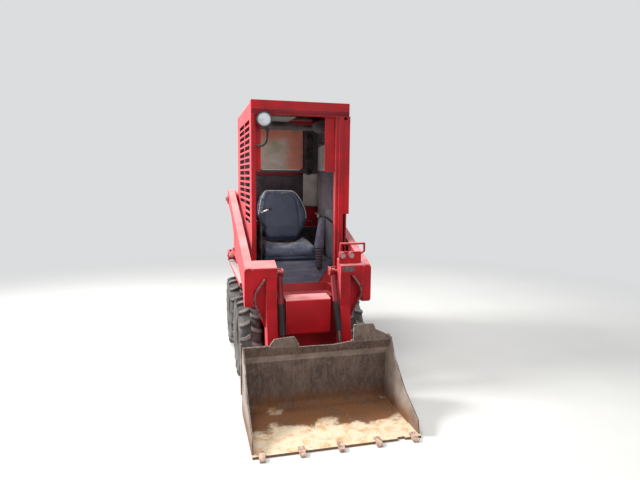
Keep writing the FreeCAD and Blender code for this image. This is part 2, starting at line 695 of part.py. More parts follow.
# Bucket
def bucket_shell():
    back = bucket_back_y
    inner_y = back - bucket_sheet
    lip = V(lip_tip_y - back, lip_tip_z - lip_bend_z, 0).normalize()
    across = V(-lip.y, lip.x, 0) * bucket_sheet
    bend_inner = lip_bend_z + across.y - (inner_y - back - across.x) * -lip.y / lip.x
    skin = side_plate(-bucket_half, bucket_half, [
        (bucket_side_front_y, 0), (back, 0, 48), (back, lip_bend_z, 16), (lip_tip_y, lip_tip_z),
        (lip_tip_y + across.x, lip_tip_z + across.y), (inner_y, bend_inner, 8),
        (inner_y, bucket_sheet, 40), (bucket_side_front_y, bucket_sheet)])
    # the top edge is worn low in the middle
    worn = front_plate(lip_tip_y - 60, back + 60, [(-129, 404), (90, 402), (192, 418), (192, 500), (-129, 500)])
    side = side_plate(bucket_half - bucket_sheet, bucket_half, [
        (bucket_side_front_y, 0), (back, 0, 48), (back, lip_bend_z, 16), (lip_tip_y + 4, lip_tip_z + 2, 4),
        (lip_tip_y - 65, 322, 80), (lip_tip_y - 220, 185, 150), (bucket_side_front_y + 14, 88, 12),
        (bucket_side_front_y, 20, 6)])
    edge = side_plate(-bucket_half, bucket_half, [(bucket_edge_y, 0), (bucket_edge_y + 150, 0),
                                                  (bucket_edge_y + 150, edge_thick), (bucket_edge_y, edge_thick)])
    notch = block(320, 362, bucket_edge_y - 1, bucket_edge_y + 14, -1, edge_thick + 1)
    strip = side_plate(bucket_half, bucket_half + bucket_sheet, [
        (back - 28, 118, 11), (back - 4, 118, 11), (back - 4, lip_tip_z), (back - 28, lip_tip_z)])
    humps = [front_plate(lip_tip_y - 8, lip_tip_y, corners) for corners in (
        [(-300, 415), (-298, 434), (-274, 465, 6), (-158, 474, 6), (-134, 440), (-132, 415)],
        [(204, 415), (208, 522, 8), (330, 520, 8), (346, 484), (444, 436), (446, 415)])]
    return join(skin.cut(worn), side, mirrored(side), edge, strip, mirrored(strip), *humps, *bucket_ears()).cut(notch)


def bucket_ears():
    back = bucket_back_y
    lip_y = back + (lip_tip_y - back) * (350 - lip_bend_z) / (lip_tip_z - lip_bend_z)
    top = [(tilt_low_y + 31, tilt_low_z + 33, 30), (tilt_low_y - 30, 352, 20), (lip_y, 350), (back, lip_bend_z)]
    bottom = [(hinge_y + 42, hinge_z - 42, 40), (hinge_y + 42, hinge_z + 42, 40)]
    tilt_bore = cross_bar(100, 400, tilt_low_y, tilt_low_z, tilt_pin_radius + running_gap)
    hinge_bore = cross_bar(100, 400, hinge_y, hinge_z, hinge_pin_radius + running_gap)
    inner = side_plate(tilt_x - 28, tilt_x - 17, [(back, 215), (tilt_low_y + 31, tilt_low_z - 35, 30)] + top)
    middle_x = leg_inner - move_gap
    middle = side_plate(middle_x - 7, middle_x,
                        [(back, 62)] + bottom + [(tilt_low_y + 31, tilt_low_z - 35, 20)] + top)
    outer = side_plate(leg_outer + move_gap, leg_outer + move_gap + 12, [(back, 62)] + bottom + [(back, 245)])
    pieces = []
    for ear in (inner, middle.cut(hinge_bore), outer.cut(hinge_bore)):
        pieces += [ear, mirrored(ear)]
    return pieces


def bucket_teeth():
    y = bucket_edge_y
    tip = -tooth_reach
    top = edge_thick + seat_gap
    teeth = []
    for i in range(tooth_count):
        x = -tooth_span + 2 * tooth_span * i / (tooth_count - 1)
        teeth.append(side_plate(x - tooth_width / 2, x + tooth_width / 2, [
            (tip, 3, 5), (y - seat_gap, 1), (y - seat_gap, top), (y + tooth_grip, top), (y + tooth_grip, top + 16, 6),
            (y - 2, top + 18, 10), (tip, 18, 7)]))
    return Part.makeCompound(teeth)


nodes = {}


def both(name, shape):
    # shape is the machine's left piece
    nodes[name + "_left"] = shape
    nodes[name + "_right"] = mirrored(shape)


nodes["main_frame"] = main_frame()
both("fender", fender())
both("tower", tower())
nodes["front_box"] = front_box()
nodes["engine_block"] = engine_block()
nodes["engine_hood"] = engine_hood()
nodes["exhaust_pipe"] = exhaust_pipe()
nodes["rear_weight"] = rear_weight()
nodes["rear_door"] = rear_door()
nodes["cab_frame"] = cab_frame()
nodes["cab_side_left"] = cab_side(cab_front_y + 2 * sheet)
nodes["cab_side_right"] = mirrored(cab_side(cab_front_y))
nodes["cab_roof"] = cab_roof()
nodes["cab_back"] = cab_back()
nodes["rear_window"] = rear_window()
nodes["headliner"] = headliner()
nodes["seat_pan"] = join(seat_pan(), *seat_bracket())
nodes["seat_cushion"] = seat_cushion()
nodes["seat_back"] = seat_back()
nodes["lever_left"] = lever_left()
nodes["lever_right"] = lever_right()
nodes["work_lamp"] = work_lamp()
nodes["lamp_box"] = lamp_box()
both("arm", arm())
both("leg", leg())
nodes["cross_tube"] = cross_tube()
for kind in cylinder_kinds:
    barrel, rod = cylinder(kind)
    both(kind + "_barrel", barrel)
    both(kind + "_rod", rod)
nodes["bucket_shell"] = bucket_shell()
nodes["bucket_teeth"] = bucket_teeth()
for end, y in (("front", front_wheel_y), ("rear", front_wheel_y + wheelbase)):
    for piece, make in (("tyre", tyre), ("rim", rim), ("axle", axle)):
        shape = make()
        shape.translate(V(wheel_x, y, axle_z))
        both(piece + "_" + end, shape)

for name, shape in nodes.items():
    shape.translate(V(0, middle_shift, 0))
    for solid in shape.Solids:
        if not solid.isValid():
            print("not valid:", name)
    shape.exportStep("parts/" + name + ".step")
print(len(nodes), "nodes written")
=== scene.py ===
import math
import bmesh
import bpy
from mathutils import Matrix, Vector


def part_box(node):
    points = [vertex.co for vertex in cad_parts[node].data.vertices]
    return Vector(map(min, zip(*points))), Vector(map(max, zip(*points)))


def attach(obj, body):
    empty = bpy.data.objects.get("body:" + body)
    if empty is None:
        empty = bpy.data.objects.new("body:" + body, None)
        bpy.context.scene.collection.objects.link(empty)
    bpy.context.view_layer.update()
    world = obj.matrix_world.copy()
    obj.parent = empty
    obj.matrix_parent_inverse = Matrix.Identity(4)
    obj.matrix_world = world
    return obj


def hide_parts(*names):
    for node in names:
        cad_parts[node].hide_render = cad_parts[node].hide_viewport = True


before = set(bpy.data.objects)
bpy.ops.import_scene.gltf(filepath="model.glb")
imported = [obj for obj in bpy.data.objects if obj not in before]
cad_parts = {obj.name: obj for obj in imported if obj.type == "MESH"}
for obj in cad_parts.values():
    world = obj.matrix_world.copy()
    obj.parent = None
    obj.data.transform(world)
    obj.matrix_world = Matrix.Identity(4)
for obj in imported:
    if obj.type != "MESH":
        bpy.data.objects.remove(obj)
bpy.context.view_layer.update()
bpy.context.scene.view_settings.view_transform = "Standard"
print("frame loaded:", len(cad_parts), "nodes")


# Selection and placing

def clearSelection():
    if bpy.context.object and bpy.context.object.mode != "OBJECT":
        bpy.ops.object.mode_set(mode="OBJECT")
    bpy.ops.object.select_all(action="DESELECT")


def pick(*pieces):
    clearSelection()
    for piece in pieces:
        piece.select_set(True)
    bpy.context.view_layer.objects.active = pieces[0]
    return pieces[0]


def editing(piece):
    pick(piece)
    bpy.ops.object.mode_set(mode="EDIT")
    bpy.ops.mesh.select_all(action="SELECT")


def leaveEdit():
    bpy.ops.object.mode_set(mode="OBJECT")


def chooseFaces(piece, wanted):
    # selects the faces that wanted(face) says yes to, and stays in edit mode
    pick(piece)
    bpy.ops.object.mode_set(mode="EDIT")
    bpy.ops.mesh.select_mode(type="FACE")
    bpy.ops.mesh.select_all(action="DESELECT")
    mesh = bmesh.from_edit_mesh(piece.data)
    for face in mesh.faces:
        if wanted(face):
            face.select_set(True)
    bmesh.update_edit_mesh(piece.data)


def newest(name):
    piece = bpy.context.object
    piece.name = name
    piece.data.name = name
    return piece


def freeze(piece):
    # origin to the world's zero, with the place kept in the mesh
    pick(piece)
    bpy.ops.object.transform_apply(location=True, rotation=True, scale=True)
    return piece


def addModifier(piece, kind, **settings):
    modifier = piece.modifiers.new(kind.title(), kind)
    for key, value in settings.items():
        setattr(modifier, key, value)
    return modifier


def applyAll(piece):
    pick(piece)
    for modifier in list(piece.modifiers):
        bpy.ops.object.modifier_apply(modifier=modifier.name)
    return piece


def smooth(piece, degrees=35):
    pick(piece)
    bpy.ops.object.shade_smooth_by_angle(angle=math.radians(degrees))
    return piece


def joinPieces(name, pieces):
    pick(*pieces)
    if len(pieces) > 1:
        bpy.ops.object.join()
    return newest(name)


def outward(piece, merge=0.00002):
    editing(piece)
    bpy.ops.mesh.remove_doubles(threshold=merge)
    bpy.ops.mesh.normals_make_consistent(inside=False)
    leaveEdit()
    return piece


def fit(piece, body, material):
    freeze(piece)
    piece.data.materials.clear()
    piece.data.materials.append(material)
    for face in piece.data.polygons:
        face.material_index = 0
    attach(piece, body)
    return piece


def block(name, low, high, edge=0.002, steps=2):
    # a plate or block between two corners, with its edges rounded
    low, high = Vector(low), Vector(high)
    bpy.ops.mesh.primitive_cube_add(size=1, location=(low + high) / 2)
    piece = newest(name)
    piece.scale = high - low
    freeze(piece)
    editing(piece)
    bpy.ops.mesh.bevel(offset=edge, segments=steps, affect="EDGES")
    leaveEdit()
    return smooth(piece, 40)


def rod(name, start, end, radius, sides=20, edge=0.0):
    start, end = Vector(start), Vector(end)
    way = end - start
    bpy.ops.mesh.primitive_cylinder_add(
        vertices=sides, radius=radius, depth=way.length, location=(start + end) / 2,
        rotation=way.to_track_quat("Z", "Y").to_euler())
    piece = newest(name)
    freeze(piece)
    if edge:
        addModifier(piece, "BEVEL", width=edge, segments=2, limit_method="ANGLE", angle_limit=0.6)
        applyAll(piece)
    return smooth(piece, 40)


# Colours and nodes

def linear(hexColour):
    parts = [int(hexColour[i:i + 2], 16) / 255 for i in (1, 3, 5)]
    return [c / 12.92 if c <= 0.04045 else ((c + 0.055) / 1.055) ** 2.4 for c in parts] + [1.0]


def addNode(material, kind, inputs=None, **settings):
    # one node with its settings; an input takes a value, a hex colour, a socket, or a node's first output
    node = material.node_tree.nodes.new("ShaderNode" + kind)
    for key, value in settings.items():
        setattr(node, key, value)
    for key, value in (inputs or {}).items():
        if isinstance(value, bpy.types.Node):
            value = next(socket for socket in value.outputs if socket.enabled)
        if isinstance(value, bpy.types.NodeSocket):
            material.node_tree.links.new(value, node.inputs[key])
        else:
            node.inputs[key].default_value = linear(value) if isinstance(value, str) else value
    return node


# Settings that many nodes share. A colour mix reads its amount from input 0 and its two colours from 6 and 7.
eased = {"interpolation_type": "SMOOTHSTEP"}
product = {"operation": "MULTIPLY", "use_clamp": True}
summed = {"operation": "ADD", "use_clamp": True}
difference = {"operation": "SUBTRACT", "use_clamp": True}
largest = {"operation": "MAXIMUM", "use_clamp": True}
blended = {"data_type": "RGBA"}


def blank(name):
    material = bpy.data.materials.new(name)
    material.use_nodes = True
    material.node_tree.nodes.clear()
    return material


# Painted sheet steel: two-pack enamel, sprayed thick, faded by sun and chipped at its edges, with painted
# sunlight on its top faces and on those turned to the machine's right
enamelLook = {
    "paint": "#b8121c", "deep": "#920c16", "fadedAndSunlit": "#e2646a", "chalkAndHighlight": "#f8c6c8",
    "rust": "#5a2c1c", "primer": "#4a4340", "dust": "#b9a894",
    "drift": 5.0, "scratchPitch": 90.0, "orangePeel": 420.0, "edge": 0.0035,
}


def agedEnamel(name, look=enamelLook, dustBelow=0.0, dustOnTop=0.2, fadeAndSunlight=1.0, chips=0.5, gloss=0.42,
               blackBelow=None, dustEven=0.35):
    # red enamel: clear gloss on faces turned away from the sun, chalky pink on faces that look up and to the
    # machine's right, which is sun bleaching and painted sunlight
    material = blank(name)
    spot = addNode(material, "TexCoord")
    place = spot.outputs["Object"]
    way = addNode(material, "SeparateXYZ", {"Vector": spot.outputs["Normal"]})
    where = addNode(material, "SeparateXYZ", {"Vector": place})
    drift = addNode(material, "TexNoise", {
        "Vector": place, "Scale": look["drift"], "Detail": 3.0, "Roughness": 0.55})
    fine = addNode(material, "TexNoise", {
        "Vector": place, "Scale": look["scratchPitch"], "Detail": 5.0, "Roughness": 0.65})
    streaks = addNode(material, "TexNoise", {
        "Vector": addNode(material, "Mapping", {"Vector": place, "Scale": (1.0, 1.0, 0.18)}), "Scale": 14.0,
        "Detail": 4.0, "Roughness": 0.6})
    colour = addNode(material, "Mix", {
        0: addNode(material, "MapRange", {"Value": drift, "From Min": 0.35, "From Max": 0.68}, **eased),
        6: look["deep"], 7: look["paint"]}, **blended)
    # sun bleaching and painted sunlight: the faces that look up and to the machine's right are lighter and
    # pinker
    up = addNode(material, "MapRange", {
        "Value": way.outputs["Z"], "From Min": 0.25, "From Max": 0.95}, **eased)
    sunSide = addNode(material, "MapRange", {
        "Value": way.outputs["X"], "From Min": -0.5, "From Max": -1.0}, **eased)
    bleachAndSunlight = addNode(material, "Math", {
        0: addNode(material, "Math", {0: up, 1: sunSide}, **largest),
        1: addNode(material, "MapRange", {
            "Value": streaks, "From Min": 0.2, "From Max": 0.7, "To Min": 0.55,
            "To Max": 1.0}, **eased)}, **product)
    colour = addNode(material, "Mix", {
        0: addNode(material, "Math", {0: bleachAndSunlight, 1: 0.8 * fadeAndSunlight}, **product), 6: colour,
        7: look["fadedAndSunlit"]}, **blended)
    # top faces chalkier and paler: chalked paint and a painted highlight
    chalkAndTopHighlight = addNode(material, "Math", {
        0: up,
        1: addNode(material, "MapRange", {
            "Value": drift, "From Min": 0.25, "From Max": 0.8, "To Min": 0.45,
            "To Max": 0.9}, **eased)}, **product)
    colour = addNode(material, "Mix", {
        0: addNode(material, "Math", {0: chalkAndTopHighlight, 1: 0.55 * fadeAndSunlight}, **product), 6: colour,
        7: look["chalkAndHighlight"]}, **blended)
    if blackBelow is not None:
        colour = addNode(material, "Mix", {
            0: addNode(material, "MapRange", {
                "Value": where.outputs["Z"], "From Min": blackBelow,
                "From Max": blackBelow - 0.012}, **eased),
            6: colour, 7: "#1d1a1b"}, **blended)
    # fine pale scuffs
    scuff = addNode(material, "Math", {
        0: addNode(material, "MapRange", {"Value": fine, "From Min": 0.66, "From Max": 0.78}, **eased),
        1: 0.15}, **product)
    colour = addNode(material, "Mix", {0: scuff, 6: colour, 7: look["fadedAndSunlit"]}, **blended)
    # edges: the rounded normal differs from the flat one within the edge's width
    rounded = addNode(material, "Bevel", {"Radius": look["edge"]}, samples=4)
    flat = addNode(material, "NewGeometry")
    agree = addNode(material, "VectorMath", {0: rounded, 1: flat.outputs["Normal"]}, operation="DOT_PRODUCT")
    edge = addNode(material, "MapRange", {"Value": agree, "From Min": 0.995, "From Max": 0.93}, **eased)
    chipNoise = addNode(material, "TexNoise", {
        "Vector": place, "Scale": 38.0, "Detail": 5.0, "Roughness": 0.7})
    chip = addNode(material, "Math", {
        0: edge,
        1: addNode(material, "MapRange", {
            "Value": chipNoise, "From Min": 0.62 - 0.2 * chips,
            "From Max": 0.72 - 0.2 * chips}, **eased)}, **product)
    colour = addNode(material, "Mix", {
        0: addNode(material, "Math", {0: edge, 1: 0.35}, **product), 6: colour, 7: look["fadedAndSunlit"]}, **blended)
    colour = addNode(material, "Mix", {
        0: addNode(material, "Math", {0: chip, 1: 0.8}, **product), 6: colour,
        7: addNode(material, "Mix", {0: fine, 6: look["rust"], 7: look["primer"]}, **blended)}, **blended)
    # dust lies on top faces and low down
    low = addNode(material, "MapRange", {
        "Value": where.outputs["Z"], "From Min": dustBelow, "From Max": dustBelow - 0.35}, **eased)
    dust = addNode(material, "Math", {
        0: addNode(material, "Math", {0: up, 1: dustOnTop}, **product),
        1: addNode(material, "Math", {0: low, 1: 0.55}, **product)}, **largest)
    dust = addNode(material, "Math", {
        0: dust,
        1: addNode(material, "MapRange", {
            "Value": streaks, "From Min": 0.3, "From Max": 0.62, "To Min": dustEven,
            "To Max": 1.0}, **eased)}, **product)
    colour = addNode(material, "Mix", {0: dust, 6: colour, 7: look["dust"]}, **blended)
    rough = addNode(material, "Math", {
        0: addNode(material, "MapRange", {
            "Value": drift, "From Min": 0.3, "From Max": 0.7, "To Min": gloss,
            "To Max": gloss + 0.14}, **eased),
        1: addNode(material, "Math", {0: bleachAndSunlight, 1: 0.16}, **product)}, **summed)
    rough = addNode(material, "Math", {
        0: rough, 1: addNode(material, "Math", {0: dust, 1: 0.35}, **product)}, **summed)
    peel = addNode(material, "TexNoise", {
        "Vector": place, "Scale": look["orangePeel"], "Detail": 2.0, "Roughness": 0.55})
    relief = addNode(material, "Math", {
        0: addNode(material, "Math", {0: peel, 1: 0.35}, **product),
        1: addNode(material, "Math", {0: chip, 1: 0.6}, **product)}, **difference)
    bump = addNode(material, "Bump", {"Height": relief, "Strength": 0.35, "Distance": 0.0006})
    shader = addNode(material, "BsdfPrincipled", {
        "Base Color": colour, "Roughness": rough, "Specular IOR Level": 0.2, "Coat Weight": 0.03,
        "Coat Roughness": 0.25, "IOR": 1.5, "Normal": bump})
    addNode(material, "OutputMaterial", {"Surface": shader})
    return material


# Black enamel on mounts, brackets and lever work: brushed on, satin, greyed by dust
blackLook = {"paint": "#1c1b1d", "grey": "#3b3a3c", "dust": "#7c7064", "rust": "#4e2c1d"}


def blackEnamel(name, look=blackLook, dustOnTop=0.5, gloss=0.42):
    material = blank(name)
    spot = addNode(material, "TexCoord")
    place = spot.outputs["Object"]
    way = addNode(material, "SeparateXYZ", {"Vector": spot.outputs["Normal"]})
    cloud = addNode(material, "TexNoise", {"Vector": place, "Scale": 9.0, "Detail": 4.0, "Roughness": 0.55})
    fine = addNode(material, "TexNoise", {"Vector": place, "Scale": 130.0, "Detail": 4.0, "Roughness": 0.65})
    colour = addNode(material, "Mix", {
        0: addNode(material, "MapRange", {"Value": cloud, "From Min": 0.35, "From Max": 0.7}, **eased),
        6: look["paint"], 7: look["grey"]}, **blended)
    colour = addNode(material, "Mix", {
        0: addNode(material, "MapRange", {
            "Value": fine, "From Min": 0.66, "From Max": 0.76, "To Min": 0.0, "To Max": 0.6}, **eased),
        6: colour, 7: look["rust"]}, **blended)
    dust = addNode(material, "Math", {
        0: addNode(material, "MapRange", {
            "Value": way.outputs["Z"], "From Min": 0.2, "From Max": 0.9}, **eased),
        1: addNode(material, "MapRange", {
            "Value": cloud, "From Min": 0.3, "From Max": 0.6, "To Min": 0.3,
            "To Max": dustOnTop}, **eased)}, **product)
    colour = addNode(material, "Mix", {0: dust, 6: colour, 7: look["dust"]}, **blended)
    rough = addNode(material, "Math", {
        0: addNode(material, "MapRange", {
            "Value": cloud, "From Min": 0.3, "From Max": 0.7, "To Min": gloss,
            "To Max": gloss + 0.2}, **eased),
        1: dust}, **summed)
    bump = addNode(material, "Bump", {"Height": fine, "Strength": 0.4, "Distance": 0.0005})
    shader = addNode(material, "BsdfPrincipled", {"Base Color": colour, "Roughness": rough, "Normal": bump})
    addNode(material, "OutputMaterial", {"Surface": shader})
    return material


# Hot-rolled plate, bare and rusted, polished and sanded over by earth: the bucket
bucketLook = {
    "rust": "#6f5c52", "dark": "#52423b", "orange": "#7c4f2b", "grey": "#857a73", "sandAndSunlight": "#d2a673",
    "paleSandAndSunlight": "#e6d2b4", "bright": "#b5a79c", "rubbedAndHighlight": "#cdbcae", "stain": "#a8703c",
    "floorZ": 0.030, "bendZ": 0.03, "wallMidZ": 0.13,
}


def rustedPlate(name, look=bucketLook):
    # brown oxide with an orange bloom at the floor's bend, grey scour on the wall, and on the floor a pale
    # patch that is painted sunlight, drawn as sand
    material = blank(name)
    spot = addNode(material, "TexCoord")
    place = spot.outputs["Object"]
    where = addNode(material, "SeparateXYZ", {"Vector": place})
    way = addNode(material, "SeparateXYZ", {"Vector": spot.outputs["Normal"]})
    cloud = addNode(material, "TexNoise", {"Vector": place, "Scale": 7.0, "Detail": 5.0, "Roughness": 0.6})
    grain = addNode(material, "TexNoise", {"Vector": place, "Scale": 85.0, "Detail": 6.0, "Roughness": 0.7})
    scour = addNode(material, "TexNoise", {
        "Vector": addNode(material, "Mapping", {"Vector": place, "Scale": (1.6, 1.0, 0.7)}), "Scale": 34.0,
        "Detail": 5.0, "Roughness": 0.65})
    colour = addNode(material, "Mix", {
        0: addNode(material, "MapRange", {"Value": cloud, "From Min": 0.32, "From Max": 0.68}, **eased),
        6: look["dark"], 7: look["rust"]}, **blended)
    colour = addNode(material, "Mix", {
        0: addNode(material, "Math", {
            0: addNode(material, "MapRange", {"Value": scour, "From Min": 0.42, "From Max": 0.66}, **eased),
            1: 0.35}, **product),
        6: colour, 7: look["grey"]}, **blended)
    # a fine speckle of scale; the lip paler where the load rubs, and the side plates paler where it rubs and
    # from painted sunlight
    colour = addNode(material, "Mix", {
        0: addNode(material, "MapRange", {
            "Value": grain, "From Min": 0.52, "From Max": 0.68, "To Min": 0.0, "To Max": 0.45}, **eased),
        6: colour, 7: look["grey"]}, **blended)
    flank = addNode(material, "MapRange", {
        "Value": addNode(material, "Math", {0: way.outputs["X"]}, operation="ABSOLUTE"), "From Min": 0.6,
        "From Max": 0.9}, **eased)
    lip = addNode(material, "Math", {
        0: addNode(material, "MapRange", {
            "Value": where.outputs["Z"], "From Min": 0.3, "From Max": 0.306}, **eased),
        1: addNode(material, "MapRange", {
            "Value": where.outputs["Z"], "From Min": 0.352, "From Max": 0.34}, **eased)}, **product)
    pale = addNode(material, "Math", {
        0: addNode(material, "Math", {
            0: flank, 1: addNode(material, "Math", {0: lip, 1: 0.75}, **product)}, **largest),
        1: addNode(material, "MapRange", {
            "Value": cloud, "From Min": 0.3, "From Max": 0.65, "To Min": 0.35,
            "To Max": 0.9}, **eased)}, **product)
    colour = addNode(material, "Mix", {0: pale, 6: colour, 7: look["bright"]}, **blended)
    height = where.outputs["Z"]
    depth = where.outputs["Y"]
    bloom = addNode(material, "Math", {
        0: addNode(material, "MapRange", {
            "Value": height, "From Min": look["wallMidZ"], "From Max": look["bendZ"]}, **eased),
        1: addNode(material, "MapRange", {
            "Value": cloud, "From Min": 0.3, "From Max": 0.62, "To Min": 0.35,
            "To Max": 0.95}, **eased)}, **product)
    colour = addNode(material, "Mix", {0: bloom, 6: colour, 7: look["orange"]}, **blended)
    # a pale patch on the inside floor towards the cutting edge: painted sunlight, drawn as sand with
    # orange-brown stains
    floor = addNode(material, "Math", {
        0: addNode(material, "MapRange", {
            "Value": height, "From Min": look["floorZ"] + 0.02, "From Max": look["floorZ"] - 0.008}, **eased),
        1: addNode(material, "MapRange", {
            "Value": way.outputs["Z"], "From Min": 0.5, "From Max": 0.9}, **eased)}, **product)
    forward = addNode(material, "MapRange", {
        "Value": addNode(material, "Math", {0: depth, 1: -1.0}, **product), "From Min": 0.72,
        "From Max": 1.0}, **eased)
    drift = addNode(material, "TexNoise", {
        "Vector": place, "Scale": 4.2, "Detail": 5.0, "Roughness": 0.6, "Distortion": 0.6})
    sandAndSunlightReach = addNode(material, "Math", {
        0: forward,
        1: addNode(material, "MapRange", {
            "Value": drift, "From Min": 0.3, "From Max": 0.75, "To Min": -0.35,
            "To Max": 0.65}, **eased)}, **summed)
    sandAndSunlight = addNode(material, "Math", {
        0: floor,
        1: addNode(material, "MapRange", {
            "Value": sandAndSunlightReach, "From Min": 0.35, "From Max": 0.75}, **eased)}, **product)
    colour = addNode(material, "Mix", {
        0: addNode(material, "Math", {0: floor, 1: 0.35}, **product), 6: colour,
        7: look["orange"]}, **blended)
    stain = addNode(material, "TexNoise", {
        "Vector": place, "Scale": 13.0, "Detail": 6.0, "Roughness": 0.7, "Distortion": 0.3})
    sandAndSunlightTone = addNode(material, "Mix", {
        0: addNode(material, "MapRange", {"Value": stain, "From Min": 0.46, "From Max": 0.66}, **eased),
        6: look["paleSandAndSunlight"], 7: look["sandAndSunlight"]}, **blended)
    sandAndSunlightTone = addNode(material, "Mix", {
        0: addNode(material, "MapRange", {
            "Value": stain, "From Min": 0.62, "From Max": 0.74, "To Min": 0.0, "To Max": 0.7}, **eased),
        6: sandAndSunlightTone, 7: look["stain"]}, **blended)
    colour = addNode(material, "Mix", {
        0: sandAndSunlight, 6: colour,
        7: addNode(material, "Mix", {
            0: addNode(material, "MapRange", {
                "Value": grain, "From Min": 0.45, "From Max": 0.7, "To Min": 0.0, "To Max": 0.4}, **eased),
            6: sandAndSunlightTone, 7: look["grey"]}, **blended)}, **blended)
    # edges rubbed bright by the load, and lightened further as a painted highlight
    rounded = addNode(material, "Bevel", {"Radius": 0.004}, samples=4)
    flat = addNode(material, "NewGeometry")
    agree = addNode(material, "VectorMath", {0: rounded, 1: flat.outputs["Normal"]}, operation="DOT_PRODUCT")
    edge = addNode(material, "Math", {
        0: addNode(material, "MapRange", {"Value": agree, "From Min": 0.995, "From Max": 0.9}, **eased),
        1: addNode(material, "MapRange", {
            "Value": grain, "From Min": 0.3, "From Max": 0.6}, **eased)}, **product)
    colour = addNode(material, "Mix", {
        0: addNode(material, "Math", {0: edge, 1: 0.8}, **product), 6: colour, 7: look["rubbedAndHighlight"]}, **blended)
    pits = addNode(material, "Math", {
        0: grain, 1: addNode(material, "Math", {0: scour, 1: 0.5}, **product)}, **summed)
    rough = addNode(material, "MapRange", {
        "Value": scour, "From Min": 0.3, "From Max": 0.7, "To Min": 0.92, "To Max": 0.62}, **eased)
    bump = addNode(material, "Bump", {"Height": pits, "Strength": 0.6, "Distance": 0.0018})
    shader = addNode(material, "BsdfPrincipled", {
        "Base Color": colour, "Roughness": rough, "Metallic": 0.15, "Normal": bump})
    addNode(material, "OutputMaterial", {"Surface": shader})
    return material


# Bare steel of teeth, pins and pipes: bright where it is rubbed, brown in its grain
def wornSteel(name, bright="#d0b3a1", dull="#8f705f", metal=0.2):
    material = blank(name)
    place = addNode(material, "TexCoord").outputs["Object"]
    grain = addNode(material, "TexNoise", {"Vector": place, "Scale": 60.0, "Detail": 6.0, "Roughness": 0.65})
    drawn = addNode(material, "TexNoise", {
        "Vector": addNode(material, "Mapping", {"Vector": place, "Scale": (1.0, 0.2, 1.0)}), "Scale": 55.0,
        "Detail": 4.0, "Roughness": 0.6})
    colour = addNode(material, "Mix", {
        0: addNode(material, "MapRange", {"Value": grain, "From Min": 0.4, "From Max": 0.64}, **eased),
        6: bright, 7: dull}, **blended)
    rough = addNode(material, "MapRange", {
        "Value": drawn, "From Min": 0.3, "From Max": 0.7, "To Min": 0.42, "To Max": 0.7}, **eased)
    bump = addNode(material, "Bump", {"Height": grain, "Strength": 0.5, "Distance": 0.0012})
    shader = addNode(material, "BsdfPrincipled", {
        "Base Color": colour, "Roughness": rough, "Metallic": metal, "Normal": bump})
    addNode(material, "OutputMaterial", {"Surface": shader})
    return material


# Hard chromed bar: ground and plated, with an oil film and fine drawn lines
def chromedBar(name, plated="#c4c1bf", filmed="#8b8078"):
    material = blank(name)
    place = addNode(material, "TexCoord").outputs["Object"]
    film = addNode(material, "TexNoise", {"Vector": place, "Scale": 18.0, "Detail": 3.0, "Roughness": 0.55})
    lines = addNode(material, "TexNoise", {
        "Vector": addNode(material, "Mapping", {"Vector": place, "Scale": (1.0, 0.3, 0.3)}), "Scale": 260.0,
        "Detail": 2.0, "Roughness": 0.5})
    colour = addNode(material, "Mix", {
        0: addNode(material, "MapRange", {"Value": film, "From Min": 0.35, "From Max": 0.65}, **eased),
        6: plated, 7: filmed}, **blended)
    rough = addNode(material, "MapRange", {
        "Value": film, "From Min": 0.35, "From Max": 0.7, "To Min": 0.12, "To Max": 0.34}, **eased)
    bump = addNode(material, "Bump", {"Height": lines, "Strength": 0.2, "Distance": 0.0002})
    shader = addNode(material, "BsdfPrincipled", {
        "Base Color": colour, "Roughness": rough, "Metallic": 1.0, "Normal": bump})
    addNode(material, "OutputMaterial", {"Surface": shader})
    return material


# Sand-cast iron and soot-baked pipe: coarse grain, no gloss
def castIron(name, dark="#2e2c2c", light="#4a4440", stain="#5d4334"):
    material = blank(name)
    place = addNode(material, "TexCoord").outputs["Object"]
    cloud = addNode(material, "TexNoise", {"Vector": place, "Scale": 8.0, "Detail": 4.0, "Roughness": 0.55})
    grain = addNode(material, "TexNoise", {"Vector": place, "Scale": 150.0, "Detail": 4.0, "Roughness": 0.7})
    colour = addNode(material, "Mix", {0: cloud, 6: dark, 7: light}, **blended)
    colour = addNode(material, "Mix", {
        0: addNode(material, "MapRange", {
            "Value": grain, "From Min": 0.56, "From Max": 0.7, "To Min": 0.0, "To Max": 0.7}, **eased),
        6: colour, 7: stain}, **blended)
    bump = addNode(material, "Bump", {"Height": grain, "Strength": 0.5, "Distance": 0.0015})
    shader = addNode(material, "BsdfPrincipled", {
        "Base Color": colour,
        "Roughness": addNode(material, "MapRange", {
            "Value": cloud, "From Min": 0.3, "From Max": 0.7, "To Min": 0.7, "To Max": 0.9}, **eased),
        "Metallic": 0.25, "Normal": bump})
    addNode(material, "OutputMaterial", {"Surface": shader})
    return material


# Seat cover: calendered vinyl on foam, a 3 mm leather print, polished where it is sat on
vinylLook = {"cover": "#323b52", "worn": "#50586f", "dust": "#86837f", "print": 320.0}


